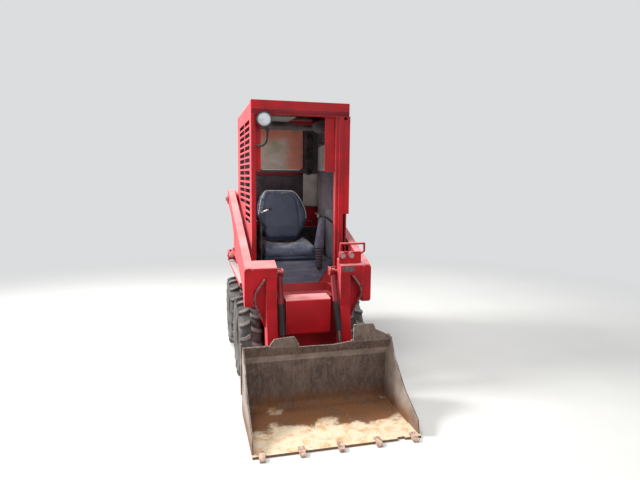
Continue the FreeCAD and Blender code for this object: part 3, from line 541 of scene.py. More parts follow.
def seatVinyl(name, look=vinylLook, dusty=0.35):
    material = blank(name)
    spot = addNode(material, "TexCoord")
    place = spot.outputs["Object"]
    way = addNode(material, "SeparateXYZ", {"Vector": spot.outputs["Normal"]})
    cloud = addNode(material, "TexNoise", {"Vector": place, "Scale": 7.0, "Detail": 4.0, "Roughness": 0.55})
    cells = addNode(material, "TexVoronoi", {
        "Vector": place, "Scale": look["print"]}, feature="DISTANCE_TO_EDGE")
    creases = addNode(material, "TexNoise", {
        "Vector": addNode(material, "Mapping", {"Vector": place, "Scale": (0.5, 1.0, 1.8)}), "Scale": 30.0,
        "Detail": 5.0, "Roughness": 0.6})
    colour = addNode(material, "Mix", {
        0: addNode(material, "MapRange", {"Value": cloud, "From Min": 0.35, "From Max": 0.7}, **eased),
        6: look["cover"], 7: look["worn"]}, **blended)
    dust = addNode(material, "Math", {
        0: addNode(material, "MapRange", {
            "Value": way.outputs["Z"], "From Min": 0.3, "From Max": 0.95}, **eased),
        1: addNode(material, "MapRange", {
            "Value": creases, "From Min": 0.4, "From Max": 0.65, "To Min": 0.1,
            "To Max": dusty * 2}, **eased)}, **product)
    colour = addNode(material, "Mix", {0: dust, 6: colour, 7: look["dust"]}, **blended)
    relief = addNode(material, "Math", {
        0: addNode(material, "MapRange", {
            "Value": cells, "From Min": 0.0, "From Max": 0.25, "To Min": 0.0, "To Max": 0.35}, **eased),
        1: addNode(material, "Math", {0: creases, 1: 0.6}, **product)}, **summed)
    rough = addNode(material, "Math", {
        0: addNode(material, "MapRange", {
            "Value": cloud, "From Min": 0.3, "From Max": 0.7, "To Min": 0.42, "To Max": 0.58}, **eased),
        1: addNode(material, "Math", {0: dust, 1: 0.3}, **product)}, **summed)
    bump = addNode(material, "Bump", {"Height": relief, "Strength": 0.45, "Distance": 0.0009})
    shader = addNode(material, "BsdfPrincipled", {
        "Base Color": colour, "Roughness": rough, "Sheen Weight": 0.08, "IOR": 1.5, "Normal": bump})
    addNode(material, "OutputMaterial", {"Surface": shader})
    return material


# Blue-grey enamelled sheet of the seat deck and the inner panels
def greySheet(name, paint="#35364a", worn="#4c4d5c", dust="#8a857e", dustShare=0.4):
    material = blank(name)
    spot = addNode(material, "TexCoord")
    place = spot.outputs["Object"]
    way = addNode(material, "SeparateXYZ", {"Vector": spot.outputs["Normal"]})
    cloud = addNode(material, "TexNoise", {"Vector": place, "Scale": 6.0, "Detail": 4.0, "Roughness": 0.55})
    wipe = addNode(material, "TexNoise", {
        "Vector": addNode(material, "Mapping", {"Vector": place, "Scale": (0.3, 1.0, 1.0)}), "Scale": 40.0,
        "Detail": 5.0, "Roughness": 0.65})
    colour = addNode(material, "Mix", {
        0: addNode(material, "MapRange", {"Value": cloud, "From Min": 0.35, "From Max": 0.7}, **eased),
        6: paint, 7: worn}, **blended)
    veil = addNode(material, "Math", {
        0: addNode(material, "MapRange", {
            "Value": way.outputs["Z"], "From Min": 0.1, "From Max": 0.95, "To Min": 0.25,
            "To Max": 1.0}, **eased),
        1: addNode(material, "MapRange", {
            "Value": wipe, "From Min": 0.42, "From Max": 0.66, "To Min": 0.0,
            "To Max": dustShare}, **eased)}, **product)
    colour = addNode(material, "Mix", {0: veil, 6: colour, 7: dust}, **blended)
    rough = addNode(material, "Math", {
        0: addNode(material, "MapRange", {
            "Value": cloud, "From Min": 0.3, "From Max": 0.7, "To Min": 0.4, "To Max": 0.6}, **eased),
        1: veil}, **summed)
    bump = addNode(material, "Bump", {"Height": wipe, "Strength": 0.3, "Distance": 0.0006})
    shader = addNode(material, "BsdfPrincipled", {
        "Base Color": colour, "Roughness": rough, "Specular IOR Level": 0.35, "Normal": bump})
    addNode(material, "OutputMaterial", {"Surface": shader})
    return material


# Torn liner: needled felt over crumbling foam, brown with dirt
def linerFelt(name, dark="#1c1719", light="#4a3c40", spot="#7a6c60", grain=70.0):
    material = blank(name)
    place = addNode(material, "TexCoord").outputs["Object"]
    cloud = addNode(material, "TexNoise", {"Vector": place, "Scale": 12.0, "Detail": 5.0, "Roughness": 0.6})
    fibre = addNode(material, "TexNoise", {
        "Vector": place, "Scale": grain * 4, "Detail": 4.0, "Roughness": 0.75})
    colour = addNode(material, "Mix", {
        0: addNode(material, "MapRange", {"Value": cloud, "From Min": 0.36, "From Max": 0.66}, **eased),
        6: dark, 7: light}, **blended)
    colour = addNode(material, "Mix", {
        0: addNode(material, "MapRange", {
            "Value": fibre, "From Min": 0.6, "From Max": 0.75, "To Min": 0.0, "To Max": 0.6}, **eased),
        6: colour, 7: spot}, **blended)
    bump = addNode(material, "Bump", {
        "Height": addNode(material, "Math", {0: fibre, 1: cloud}, **summed), "Strength": 0.6,
        "Distance": 0.003})
    shader = addNode(material, "BsdfPrincipled", {
        "Base Color": colour, "Roughness": 0.92, "Sheen Weight": 0.25, "Normal": bump})
    addNode(material, "OutputMaterial", {"Surface": shader})
    return material


# Moulded black plastic and rubber: lamp housing, boots, knobs
def mouldedBlack(name, body="#1b1a1c", dust="#5b544d", roughness=0.5):
    material = blank(name)
    place = addNode(material, "TexCoord").outputs["Object"]
    cloud = addNode(material, "TexNoise", {"Vector": place, "Scale": 25.0, "Detail": 4.0, "Roughness": 0.55})
    spark = addNode(material, "TexNoise", {"Vector": place, "Scale": 500.0, "Detail": 2.0, "Roughness": 0.55})
    colour = addNode(material, "Mix", {
        0: addNode(material, "MapRange", {
            "Value": cloud, "From Min": 0.45, "From Max": 0.72, "To Min": 0.0, "To Max": 0.7}, **eased),
        6: body, 7: dust}, **blended)
    rough = addNode(material, "MapRange", {
        "Value": cloud, "From Min": 0.3, "From Max": 0.7, "To Min": roughness,
        "To Max": roughness + 0.2}, **eased)
    bump = addNode(material, "Bump", {"Height": spark, "Strength": 0.4, "Distance": 0.0003})
    shader = addNode(material, "BsdfPrincipled", {
        "Base Color": colour, "Roughness": rough, "IOR": 1.46, "Normal": bump})
    addNode(material, "OutputMaterial", {"Surface": shader})
    return material


# Moulded rubber boot: dust lies on its rings, and the folds between are darkened as painted shade
def foldedRubber(name, fold="#100e11", crest="#4c464d"):
    # the piece's own attribute crest is 0 in a fold and 1 on a ring
    material = blank(name)
    place = addNode(material, "TexCoord").outputs["Object"]
    rise = addNode(material, "Attribute", attribute_name="crest").outputs["Fac"]
    cloud = addNode(material, "TexNoise", {"Vector": place, "Scale": 25.0, "Detail": 4.0, "Roughness": 0.55})
    # the rings lighter with dust, the folds darker as painted shade
    dusty = addNode(material, "Math", {
        0: addNode(material, "MapRange", {"Value": rise, "From Min": 0.25, "From Max": 0.8}, **eased),
        1: addNode(material, "MapRange", {
            "Value": cloud, "From Min": 0.3, "From Max": 0.65, "To Min": 0.5,
            "To Max": 1.0}, **eased)}, **product)
    colour = addNode(material, "Mix", {0: dusty, 6: fold, 7: crest}, **blended)
    bump = addNode(material, "Bump", {"Height": cloud, "Strength": 0.3, "Distance": 0.0004})
    shader = addNode(material, "BsdfPrincipled", {
        "Base Color": colour,
        "Roughness": addNode(material, "MapRange", {
            "Value": cloud, "From Min": 0.3, "From Max": 0.7, "To Min": 0.5, "To Max": 0.75}, **eased),
        "IOR": 1.46, "Normal": bump})
    addNode(material, "OutputMaterial", {"Surface": shader})
    return material


# Pressed lamp lens: fluted glass, hazed; its light colour and the lighter stripes along its flutes are a
# painted reflection of the lamp's bright bowl
def lampLens(name, clear="#c3c8ce", haze="#9fa4ab", flute=95.0):
    material = blank(name)
    place = addNode(material, "TexCoord").outputs["Object"]
    cloud = addNode(material, "TexNoise", {"Vector": place, "Scale": 40.0, "Detail": 4.0, "Roughness": 0.55})
    flutes = addNode(material, "TexWave", {
        "Vector": place, "Scale": flute, "Distortion": 0.3}, bands_direction="X").outputs["Fac"]
    colour = addNode(material, "Mix", {
        0: addNode(material, "MapRange", {"Value": cloud, "From Min": 0.4, "From Max": 0.7}, **eased),
        6: clear, 7: haze}, **blended)
    # lighter stripes along the flutes: painted reflection of the bowl
    colour = addNode(material, "Mix", {
        0: addNode(material, "Math", {0: flutes, 1: 0.3}, **product), 6: colour, 7: "#e6e8ea"}, **blended)
    rough = addNode(material, "MapRange", {
        "Value": cloud, "From Min": 0.3, "From Max": 0.7, "To Min": 0.12, "To Max": 0.3}, **eased)
    bump = addNode(material, "Bump", {"Height": flutes, "Strength": 0.5, "Distance": 0.0012})
    shader = addNode(material, "BsdfPrincipled", {
        "Base Color": colour, "Roughness": rough, "Coat Weight": 0.6, "Coat Roughness": 0.05, "Normal": bump})
    addNode(material, "OutputMaterial", {"Surface": shader})
    return material


# Toughened window glass with dried mud and road film; the film's pale colours also stand in for light coming
# through it from behind, as painted backlight
def dustyGlass(name, film="#d6c2ae", red="#f28c72", high=1.796):
    material = blank(name)
    place = addNode(material, "TexCoord").outputs["Object"]
    where = addNode(material, "SeparateXYZ", {"Vector": place})
    cloud = addNode(material, "TexNoise", {"Vector": place, "Scale": 9.0, "Detail": 6.0, "Roughness": 0.65})
    specks = addNode(material, "TexNoise", {
        "Vector": place, "Scale": 120.0, "Detail": 4.0, "Roughness": 0.75})
    # a thin red tint at the top and the machine's left
    top = addNode(material, "MapRange", {
        "Value": where.outputs["Z"], "From Min": high - 0.15, "From Max": high - 0.06}, **eased)
    side = addNode(material, "MapRange", {
        "Value": where.outputs["X"], "From Min": 0.02, "From Max": 0.11}, **eased)
    stain = addNode(material, "Math", {
        0: addNode(material, "Math", {0: top, 1: side}, **largest),
        1: addNode(material, "MapRange", {
            "Value": cloud, "From Min": 0.35, "From Max": 0.65, "To Min": 0.75,
            "To Max": 1.0}, **eased)}, **product)
    colour = addNode(material, "Mix", {0: stain, 6: film, 7: red}, **blended)
    patch = addNode(material, "TexNoise", {"Vector": place, "Scale": 5.0, "Detail": 2.0, "Roughness": 0.55})
    colour = addNode(material, "Mix", {
        0: addNode(material, "MapRange", {
            "Value": patch, "From Min": 0.56, "From Max": 0.72, "To Min": 0.0, "To Max": 0.5}, **eased),
        6: colour, 7: "#8f8f62"}, **blended)
    colour = addNode(material, "Mix", {
        0: addNode(material, "MapRange", {
            "Value": specks, "From Min": 0.5, "From Max": 0.68, "To Min": 0.0, "To Max": 0.5}, **eased),
        6: colour, 7: "#d9d2c6"}, **blended)
    cover = addNode(material, "Math", {
        0: addNode(material, "MapRange", {
            "Value": cloud, "From Min": 0.3, "From Max": 0.7, "To Min": 0.72, "To Max": 0.95}, **eased),
        1: addNode(material, "Math", {0: stain, 1: 0.1}, **product)}, **summed)
    dirt = addNode(material, "BsdfPrincipled", {"Base Color": colour, "Roughness": 0.75})
    glass = addNode(material, "BsdfPrincipled", {
        "Base Color": "#dfe4e2", "Roughness": 0.05, "Transmission Weight": 1.0, "IOR": 1.45})
    mix = addNode(material, "MixShader", {"Fac": cover, 1: glass, 2: dirt})
    addNode(material, "OutputMaterial", {"Surface": mix})
    return material


# Tyre: vulcanised rubber, chalky with stone dust; its lug tips lighter still, partly dust and partly a
# painted highlight, so the grooves read darker
def dustyRubber(name, clean="#322f30", chalkAndHighlight="#aaa5a1", pale="#78736f"):
    # the piece's own attribute rise is 0 at the bead and 1 at the lug tips
    material = blank(name)
    place = addNode(material, "TexCoord").outputs["Object"]
    rise = addNode(material, "Attribute", attribute_name="rise").outputs["Fac"]
    cloud = addNode(material, "TexNoise", {"Vector": place, "Scale": 11.0, "Detail": 5.0, "Roughness": 0.6})
    grit = addNode(material, "TexNoise", {"Vector": place, "Scale": 140.0, "Detail": 5.0, "Roughness": 0.7})
    colour = addNode(material, "Mix", {
        0: addNode(material, "MapRange", {
            "Value": cloud, "From Min": 0.3, "From Max": 0.7, "To Min": 0.02, "To Max": 0.35}, **eased),
        6: clean, 7: chalkAndHighlight}, **blended)
    # lug tips lighter: stone dust and a painted highlight
    tipDustAndHighlight = addNode(material, "Math", {
        0: addNode(material, "MapRange", {"Value": rise, "From Min": 0.85, "From Max": 0.99}, **eased),
        1: addNode(material, "MapRange", {
            "Value": grit, "From Min": 0.35, "From Max": 0.62}, **eased)}, **product)
    colour = addNode(material, "Mix", {
        0: addNode(material, "Math", {0: tipDustAndHighlight, 1: 0.65}, **product), 6: colour, 7: chalkAndHighlight}, **blended)
    wall = addNode(material, "Math", {
        0: addNode(material, "MapRange", {"Value": rise, "From Min": 0.72, "From Max": 0.45}, **eased),
        1: addNode(material, "MapRange", {
            "Value": cloud, "From Min": 0.35, "From Max": 0.68, "To Min": 0.15,
            "To Max": 0.7}, **eased)}, **product)
    colour = addNode(material, "Mix", {0: wall, 6: colour, 7: pale}, **blended)
    bump = addNode(material, "Bump", {"Height": grit, "Strength": 0.5, "Distance": 0.0012})
    shader = addNode(material, "BsdfPrincipled", {
        "Base Color": colour,
        "Roughness": addNode(material, "MapRange", {
            "Value": grit, "From Min": 0.3, "From Max": 0.7, "To Min": 0.8, "To Max": 0.95}, **eased),
        "Normal": bump})
    addNode(material, "OutputMaterial", {"Surface": shader})
    return material


# Baked rim enamel with brake-dust speckle
def rimEnamel(name, paint="#6a645e", dirt="#46403a"):
    material = blank(name)
    place = addNode(material, "TexCoord").outputs["Object"]
    cloud = addNode(material, "TexNoise", {"Vector": place, "Scale": 14.0, "Detail": 5.0, "Roughness": 0.6})
    fine = addNode(material, "TexNoise", {"Vector": place, "Scale": 120.0, "Detail": 5.0, "Roughness": 0.7})
    colour = addNode(material, "Mix", {
        0: addNode(material, "MapRange", {
            "Value": cloud, "From Min": 0.4, "From Max": 0.7, "To Min": 0.1, "To Max": 0.75}, **eased),
        6: paint, 7: dirt}, **blended)
    colour = addNode(material, "Mix", {
        0: addNode(material, "MapRange", {
            "Value": fine, "From Min": 0.6, "From Max": 0.72, "To Min": 0.0, "To Max": 0.8}, **eased),
        6: colour, 7: "#5e3a26"}, **blended)
    bump = addNode(material, "Bump", {"Height": fine, "Strength": 0.3, "Distance": 0.0006})
    shader = addNode(material, "BsdfPrincipled", {
        "Base Color": colour,
        "Roughness": addNode(material, "MapRange", {
            "Value": cloud, "From Min": 0.3, "From Max": 0.7, "To Min": 0.4, "To Max": 0.7}, **eased),
        "Normal": bump})
    addNode(material, "OutputMaterial", {"Surface": shader})
    return material


finishes = {
    "enamel": agedEnamel("agedRedEnamel"),
    "frameEnamel": agedEnamel("scuffedFrameEnamel", {**enamelLook, "paint": "#9c1019", "deep": "#7c0c14"},
                              dustBelow=0.30, dustOnTop=0.05, fadeAndSunlight=0.15, chips=0.8),
    "boxEnamel": agedEnamel("pressedBoxEnamel", {**enamelLook, "paint": "#cc1622", "deep": "#ae111b"},
                            fadeAndSunlight=1.1),
    # a darker copy of the red enamel: painted shade, used on the header's fold, the window sill bar and the
    # roof rail
    "shadeEnamel": agedEnamel("paintedShadeFoldEnamel", {**enamelLook, "paint": "#8c1620", "deep": "#6d1019"},
                              fadeAndSunlight=0.4),
    "stepEnamel": agedEnamel("steppedEnamel", {**enamelLook, "dust": "#b6bdb9"},
                             dustOnTop=2.6, chips=0.9, dustEven=0.85),
    # tilt barrels: a darker red than the enamel, as painted shade, and black below 0.60
    "shadedCylinderEnamel": agedEnamel("shadedCylinderEnamel", {**enamelLook, "paint": "#8c1620", "deep": "#5e0f17"},
                                 fadeAndSunlight=0.5, blackBelow=0.60),
    "black": blackEnamel("brushedBlackEnamel"),
    "rust": rustedPlate("rustedBucketPlate"),
    "teeth": wornSteel("castTeethSteel"),
    "pin": wornSteel("turnedPinSteel", "#8e8780", "#4c3f38", 0.7),
    "chrome": chromedBar("chromedRod", "#d4c6c6", "#a29594"),
    # tilt rods: dark film colours, partly oil and partly painted shade
    "oiledShadedRod": chromedBar("oiledShadedRod", "#5f5855", "#352e2b"),
    "iron": castIron("sandCastIron"),
    "sooted": castIron("sootedPipe", "#3a302b", "#6b4a36", "#7a4a2e"),
    "vinyl": seatVinyl("seatVinyl"),
    "piping": seatVinyl("palePiping", {**vinylLook, "cover": "#d8d9da", "worn": "#f0efeb"}, 0.15),
    "bead": seatVinyl("whiteWindowBead", {**vinylLook, "cover": "#e6e4de", "worn": "#f4f2ec"}, 0.1),
    "greySheet": greySheet("seatDeckEnamel"),
    "innerPanel": greySheet("innerPanelSheet", "#504e55", "#67656c"),
    "felt": linerFelt("tornLinerFelt"),
    "beigeFelt": linerFelt("bareLinerBoard", "#cfc6bb", "#e4ddd3", "#efe9e0"),
    "mottled": linerFelt("mottledSideLiner", "#382e34", "#5c4d55", "#978991"),
    "greenFelt": linerFelt("greyRoofFelt", "#4c4e48", "#6a6c63", "#8b8a7f"),
    "brownFelt": linerFelt("brownRearFelt", "#473d42", "#5e5157", "#83777a"),
    "feed": wornSteel("dustyFeedPipe", "#8a5a5e", "#4a2a2e", 0.1),
    "worn": wornSteel("bareWornPlate", "#6d5758", "#4a3637", 0.3),
    "plastic": mouldedBlack("mouldedPlastic"),
    "boot": foldedRubber("ringedBootRubber"),
    "grip": mouldedBlack("foamGrip", "#3d3b49", "#625f6c", 0.7),
    "lens": lampLens("flutedLens"),
    "smallLens": lampLens("hazedSmallLens", "#9a7678", "#764a4e", 140.0),
    "glass": dustyGlass("dustyWindowGlass"),
    "rubber": dustyRubber("dustyTyreRubber"),
    "rim": rimEnamel("bakedRimEnamel"),
}
print("materials made:", len(finishes))


# The CAD pieces that are shown as they are, and what each is finished in
nodeFinish = {
    "enamel": ["tower_left", "tower_right", "engine_hood", "cab_frame", "cab_side_left", "cab_side_right",
               "cab_roof", "rear_door", "lift_barrel_left", "lift_barrel_right", "arm_left", "arm_right",
               "lamp_box", "leg_left", "leg_right"],
    "boxEnamel": ["front_box"],
    "frameEnamel": ["main_frame"],
    "stepEnamel": ["fender_left", "fender_right"],
    "shadedCylinderEnamel": ["tilt_barrel_left", "tilt_barrel_right"],
    "black": ["rear_weight", "work_lamp", "cross_tube"],
    "greySheet": ["seat_pan"],
    "innerPanel": ["cab_back"],
    "iron": ["engine_block"],
    "sooted": ["exhaust_pipe"],
    "chrome": ["lift_rod_left", "lift_rod_right"],
    "oiledShadedRod": ["tilt_rod_left", "tilt_rod_right"],
    "rust": ["bucket_shell"],
    "teeth": ["bucket_teeth"],
    "glass": ["rear_window"],
    "plastic": ["lever_left", "lever_right"],
    "rim": ["rim_front_left", "rim_front_right", "rim_rear_left", "rim_rear_right"],
    "pin": ["axle_front_left", "axle_front_right", "axle_rear_left", "axle_rear_right"],
}
for finishName, names in nodeFinish.items():
    for nodeName in names:
        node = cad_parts[nodeName]
        node.data.materials.clear()
        node.data.materials.append(finishes[finishName])
print("frame pieces finished")


# Tyres: a bias-ply lug tyre, made once about its own axle and copied to the four wheels
tyre = {
    # carcass section from bead to bead: x, radius
    "section": [(-0.054, 0.1535), (0.0, 0.1525), (0.054, 0.1535), (0.055, 0.166), (0.061, 0.178),
                (0.070, 0.192), (0.0745, 0.207), (0.0750, 0.222), (0.0735, 0.236), (0.068, 0.247),
                (0.058, 0.254), (0.040, 0.258), (0.0, 0.2605), (-0.040, 0.258), (-0.058, 0.254),
                (-0.068, 0.247), (-0.0735, 0.236), (-0.0750, 0.222), (-0.0745, 0.207), (-0.070, 0.192),
                (-0.061, 0.178), (-0.055, 0.166)],
    "turns": 72, "half": 0.075, "tread": 0.256, "tip": 0.2795, "phase": 0.05,
    # a lug: its start beside the middle, its length, half widths at both ends, sweep and curl
    "lugs": 18, "lugStart": 0.003, "lugLength": 0.0715, "inner": 0.017, "outer": 0.012, "sweep": 0.021,
    "curl": 0.62, "draft": 0.22, "steps": 6, "lugEdge": 0.0022,
    # how its foot sinks into the carcass, and how its tip falls away towards the shoulder
    "footSink": 0.010, "shoulderSink": 0.020, "crownDrop": 0.010, "crownCurve": 3.2, "edgeFrom": 0.85,
    "edgeDrop": 0.006,
    # the rings on the side wall
    "ringLow": 0.186, "ringHigh": 0.200, "wallFrom": 0.06, "ringEdge": 0.003, "ringRise": 0.0008,
}


def crownDrop(x):
    # how far the lug tips fall away towards the shoulder
    return tyre["crownDrop"] * (abs(x) / tyre["half"]) ** tyre["crownCurve"]


def makeLug(side, phase):
    bpy.ops.mesh.primitive_cube_add(size=1)
    lug = newest("lug")
    editing(lug)
    bpy.ops.mesh.subdivide(number_cuts=tyre["steps"] - 1)
    leaveEdit()
    for vertex in lug.data.vertices:
        along, across, up = vertex.co.x + 0.5, vertex.co.y * 2, vertex.co.z + 0.5
        x = tyre["lugStart"] + along * tyre["lugLength"]
        # the bar sweeps back from the middle and curls in again at the shoulder
        centre = -tyre["sweep"] * math.sin(along * math.pi * tyre["curl"])
        width = tyre["inner"] + (tyre["outer"] - tyre["inner"]) * along
        draft = 1.0 - tyre["draft"] * up
        base = tyre["tread"] - tyre["footSink"] - tyre["shoulderSink"] * along ** 4
        tip = tyre["tip"] - crownDrop(x)
        if along > tyre["edgeFrom"]:
            tip -= tyre["edgeDrop"] * (along - tyre["edgeFrom"]) / (1.0 - tyre["edgeFrom"])
        radius = base + (tip - base) * up
        angle = phase + (centre + across * width * draft) / tyre["tip"]
        vertex.co = (side * x, radius * math.sin(angle), radius * math.cos(angle))
    lug.data.update()
    editing(lug)
    bpy.ops.mesh.normals_make_consistent(inside=False)
    leaveEdit()
    addModifier(lug, "BEVEL", width=tyre["lugEdge"], segments=2, limit_method="ANGLE", angle_limit=0.7)
    return applyAll(lug)


def makeTyre():
    section = tyre["section"]
    bpy.ops.mesh.primitive_circle_add(vertices=len(section), radius=0.1)
    carcass = newest("carcass")
    for vertex, (x, radius) in zip(carcass.data.vertices, section):
        vertex.co = (x, 0, radius)
    editing(carcass)
    bpy.ops.mesh.spin(steps=tyre["turns"], angle=2 * math.pi, center=(0, 0, 0), axis=(1, 0, 0))
    bpy.ops.mesh.select_all(action="SELECT")
    bpy.ops.mesh.remove_doubles(threshold=0.00005)
    bpy.ops.mesh.normals_make_consistent(inside=False)
    leaveEdit()
    # two fine ribs on each side wall, where the mould's rings stood
    chooseFaces(carcass, lambda face: (
        tyre["ringLow"] < math.hypot(*face.calc_center_median()[1:]) < tyre["ringHigh"]
        and abs(face.calc_center_median().x) > tyre["wallFrom"]))
    bpy.ops.mesh.inset(thickness=tyre["ringEdge"], depth=tyre["ringRise"])
    leaveEdit()
    pieces = [carcass]
    step = 2 * math.pi / tyre["lugs"]
    for side, phase in ((1, 0.0), (-1, 0.5)):
        first = makeLug(side, math.pi + phase * step)
        pieces.append(first)
        for i in range(1, tyre["lugs"]):
            copy = first.copy()
            copy.data = first.data.copy()
            bpy.context.collection.objects.link(copy)
            copy.data.transform(Matrix.Rotation(i * step, 4, "X"))
            pieces.append(copy)
    whole = joinPieces("lugTyre", pieces)
    rise = whole.data.attributes.new("rise", "FLOAT", "POINT")
    low, high = section[0][1], tyre["tip"]
    rises = [(math.hypot(v.co.y, v.co.z) - low) / (high - low) for v in whole.data.vertices]
    rise.data.foreach_set("value", rises)
    return smooth(whole, 32)


firstTyre = makeTyre()
wheels = [(end, side) for end in ("front", "rear") for side in ("left", "right")]
wheel = {
    # the face the nuts stand on lies this far out from the tyre's middle
    "axleHeight": 0.280, "discOut": 0.016, "nutCount": 6, "nutTurn": 0.3,
    "nutRadius": 0.050, "nutSize": 0.0095, "nutHeight": 0.011, "nutEdge": 0.0012,
    "stud": 0.0055, "studHeight": 0.0176, "fineEdge": 0.0008,
    # the valve's radius, and its two ends as a reach beyond the disc and a radius on the wheel
    "valve": 0.004, "valveEnds": [(0.020, 0.132), (0.035, 0.127)],
}
for end, side in wheels:
    low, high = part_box("tyre_" + end + "_" + side)
    middle = (low + high) / 2
    out = 1 if side == "left" else -1
    copy = firstTyre.copy()
    copy.data = firstTyre.data.copy()
    bpy.context.collection.objects.link(copy)
    copy.name = "tyre" + end.title() + side.title()
    copy.data.name = copy.name
    copy.data.transform(Matrix.Translation((middle.x, middle.y, wheel["axleHeight"]))
                        @ Matrix.Rotation(tyre["phase"], 4, "X"))
    body = "wheel_" + end + "_" + side
    fit(copy, body, finishes["rubber"])
    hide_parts("tyre_" + end + "_" + side)
    # studs, hexagon nuts and the valve on the rim's disc
    parts = []
    face = middle.x + out * wheel["discOut"]
    nutEnd = face + out * wheel["nutHeight"]
    studEnd = face + out * wheel["studHeight"]
    for i in range(wheel["nutCount"]):
        turn = 2 * math.pi * i / wheel["nutCount"] + wheel["nutTurn"]
        y = middle.y + wheel["nutRadius"] * math.cos(turn)
        z = wheel["axleHeight"] + wheel["nutRadius"] * math.sin(turn)
        parts.append(rod("nut", (face, y, z), (nutEnd, y, z), wheel["nutSize"], 6, wheel["nutEdge"]))
        parts.append(rod("stud", (face, y, z), (studEnd, y, z), wheel["stud"], 12, wheel["fineEdge"]))
    foot, tip = [(face + out * reach, middle.y, wheel["axleHeight"] + radius)
                 for reach, radius in wheel["valveEnds"]]
    parts.append(rod("valve", foot, tip, wheel["valve"], 10, wheel["fineEdge"]))
    fit(joinPieces("wheelNuts" + end.title() + side.title(), parts), body, finishes["pin"])
bpy.data.objects.remove(firstTyre)
print("wheels made")


# Seat: two foam pads under a sewn vinyl cover, each blown up by a short cloth run
seat = {
    "foam": {"shrink": 0.006, "voxel": 0.006, "cap": 0.012, "pressure": 4.0, "frames": 20},
    "seamDepth": 0.0035, "seamWidth": 0.006, "shade": 60,
    # backrest: its middle, the bands it is measured in, and the lower edge that hangs
    "backMiddle": -0.040, "band": 0.04, "mostStretch": 1.25,
    "hang": 0.028, "hangShare": 0.28, "hangHalf": 0.17, "hangBack": 0.4,
    # its half width at shares of its height, on the machine's left and right
    "leftOutline": [(0.0, 0.105), (0.15, 0.160), (0.26, 0.185), (0.40, 0.201), (0.57, 0.208), (0.73, 0.187),
                    (0.88, 0.146), (1.0, 0.080)],
    "rightOutline": [(0.0, 0.108), (0.10, 0.138), (0.24, 0.169), (0.39, 0.184), (0.54, 0.187), (0.71, 0.178),
                     (0.85, 0.158), (1.0, 0.100)],
    # the sewn panel on its front: half width and height, middle, and how it narrows towards the top
    "panelHalf": 0.108, "panelWide": 1.42, "panelNarrow": 0.34, "panelOver": 0.4,
    "panelCentre": 0.185, "panelHigh": 0.182,
    # cushion: the dip in its middle and the bolsters beside it, from an x and over a run
    "cushionMiddle": -0.043, "dip": 0.026, "dipHalf": 0.11, "sitFrom": 0.05, "sitOver": 0.20,
    "leftBolster": 0.036, "leftFrom": 0.045, "rightBolster": 0.014, "rightFrom": -0.135, "bolsterRun": 0.10,
    "frontSeam": 0.030, "frontDepth": 0.06, "topFrom": 0.06,
    # piping: its radius, how much a point in front counts, and its line as x and height above the foot
    "piping": 0.00294, "pipingOut": 0.001, "pipingFront": 0.02,
    "pipingOutline": [(-0.222, 0.20), (-0.205, 0.30), (-0.186, 0.365), (-0.155, 0.392), (-0.10, 0.398),
                      (-0.03, 0.398), (0.035, 0.396), (0.075, 0.385), (0.105, 0.350), (0.135, 0.29),
                      (0.165, 0.22), (0.178, 0.16)],
}


def padFrom(nodeName, name, foam):
    # a pad grown from the node's own form
    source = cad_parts[nodeName]
    pad = source.copy()
    pad.data = source.data.copy()
    pad.parent = None
    pad.matrix_world = Matrix.Identity(4)
    bpy.context.collection.objects.link(pad)
    pad.name = name
    pad.data.name = name
    outward(pad, 0.0001)
    addModifier(pad, "REMESH", mode="VOXEL", voxel_size=foam["voxel"])
    applyAll(pad)
    addModifier(pad, "SMOOTH", factor=0.5, iterations=14)
    applyAll(pad)
    for vertex, normal in zip(pad.data.vertices, [v.normal.copy() for v in pad.data.vertices]):
        vertex.co -= normal * foam["shrink"]
    start = [v.co.copy() for v in pad.data.vertices]
    cloth = addModifier(pad, "CLOTH")
    cloth.settings.use_pressure = True
    cloth.settings.uniform_pressure_force = foam["pressure"]
    cloth.settings.effector_weights.gravity = 0.0
    cloth.settings.quality = 4
    for step in range(1, foam["frames"] + 1):
        bpy.context.scene.frame_set(step)
    shape = pad.evaluated_get(bpy.context.evaluated_depsgraph_get()).data
    moved = [v.co.copy() for v in shape.vertices]
    pad.modifiers.remove(cloth)
    bpy.context.scene.frame_set(1)
    for vertex, before, after in zip(pad.data.vertices, start, moved):
        push = after - before
        if push.length > foam["cap"]:
            push = push.normalized() * foam["cap"]
        vertex.co = before + push
    addModifier(pad, "SUBSURF", levels=1, render_levels=1)
    return applyAll(pad)


def sew(pad, seams):
    # a seam tells how deep its channel is at a point, and the channel is pressed in along the normal
    for vertex, normal in zip(pad.data.vertices, [v.normal.copy() for v in pad.data.vertices]):
        press = max(seam(vertex.co) for seam in seams)
        vertex.co -= normal * seat["seamDepth"] * press
    pad.data.update()


def channel(distance):
    return math.exp(-(distance / seat["seamWidth"]) ** 2)


def halfAt(outline, share):
    # the outline's half width at one share of the height, rounded over its neighbours
    total = 0.0
    for offset in (-0.06, -0.03, 0.0, 0.03, 0.06):
        at = min(1.0, max(0.0, share + offset))
        for (low, lowHalf), (high, highHalf) in zip(outline, outline[1:]):
            if low <= at <= high:
                half = lowHalf + (highHalf - lowHalf) * (at - low) / (high - low)
        total += half
    return total / 5


def heightShare(p):
    return (p.z - backLow.z) / (backHigh.z - backLow.z)


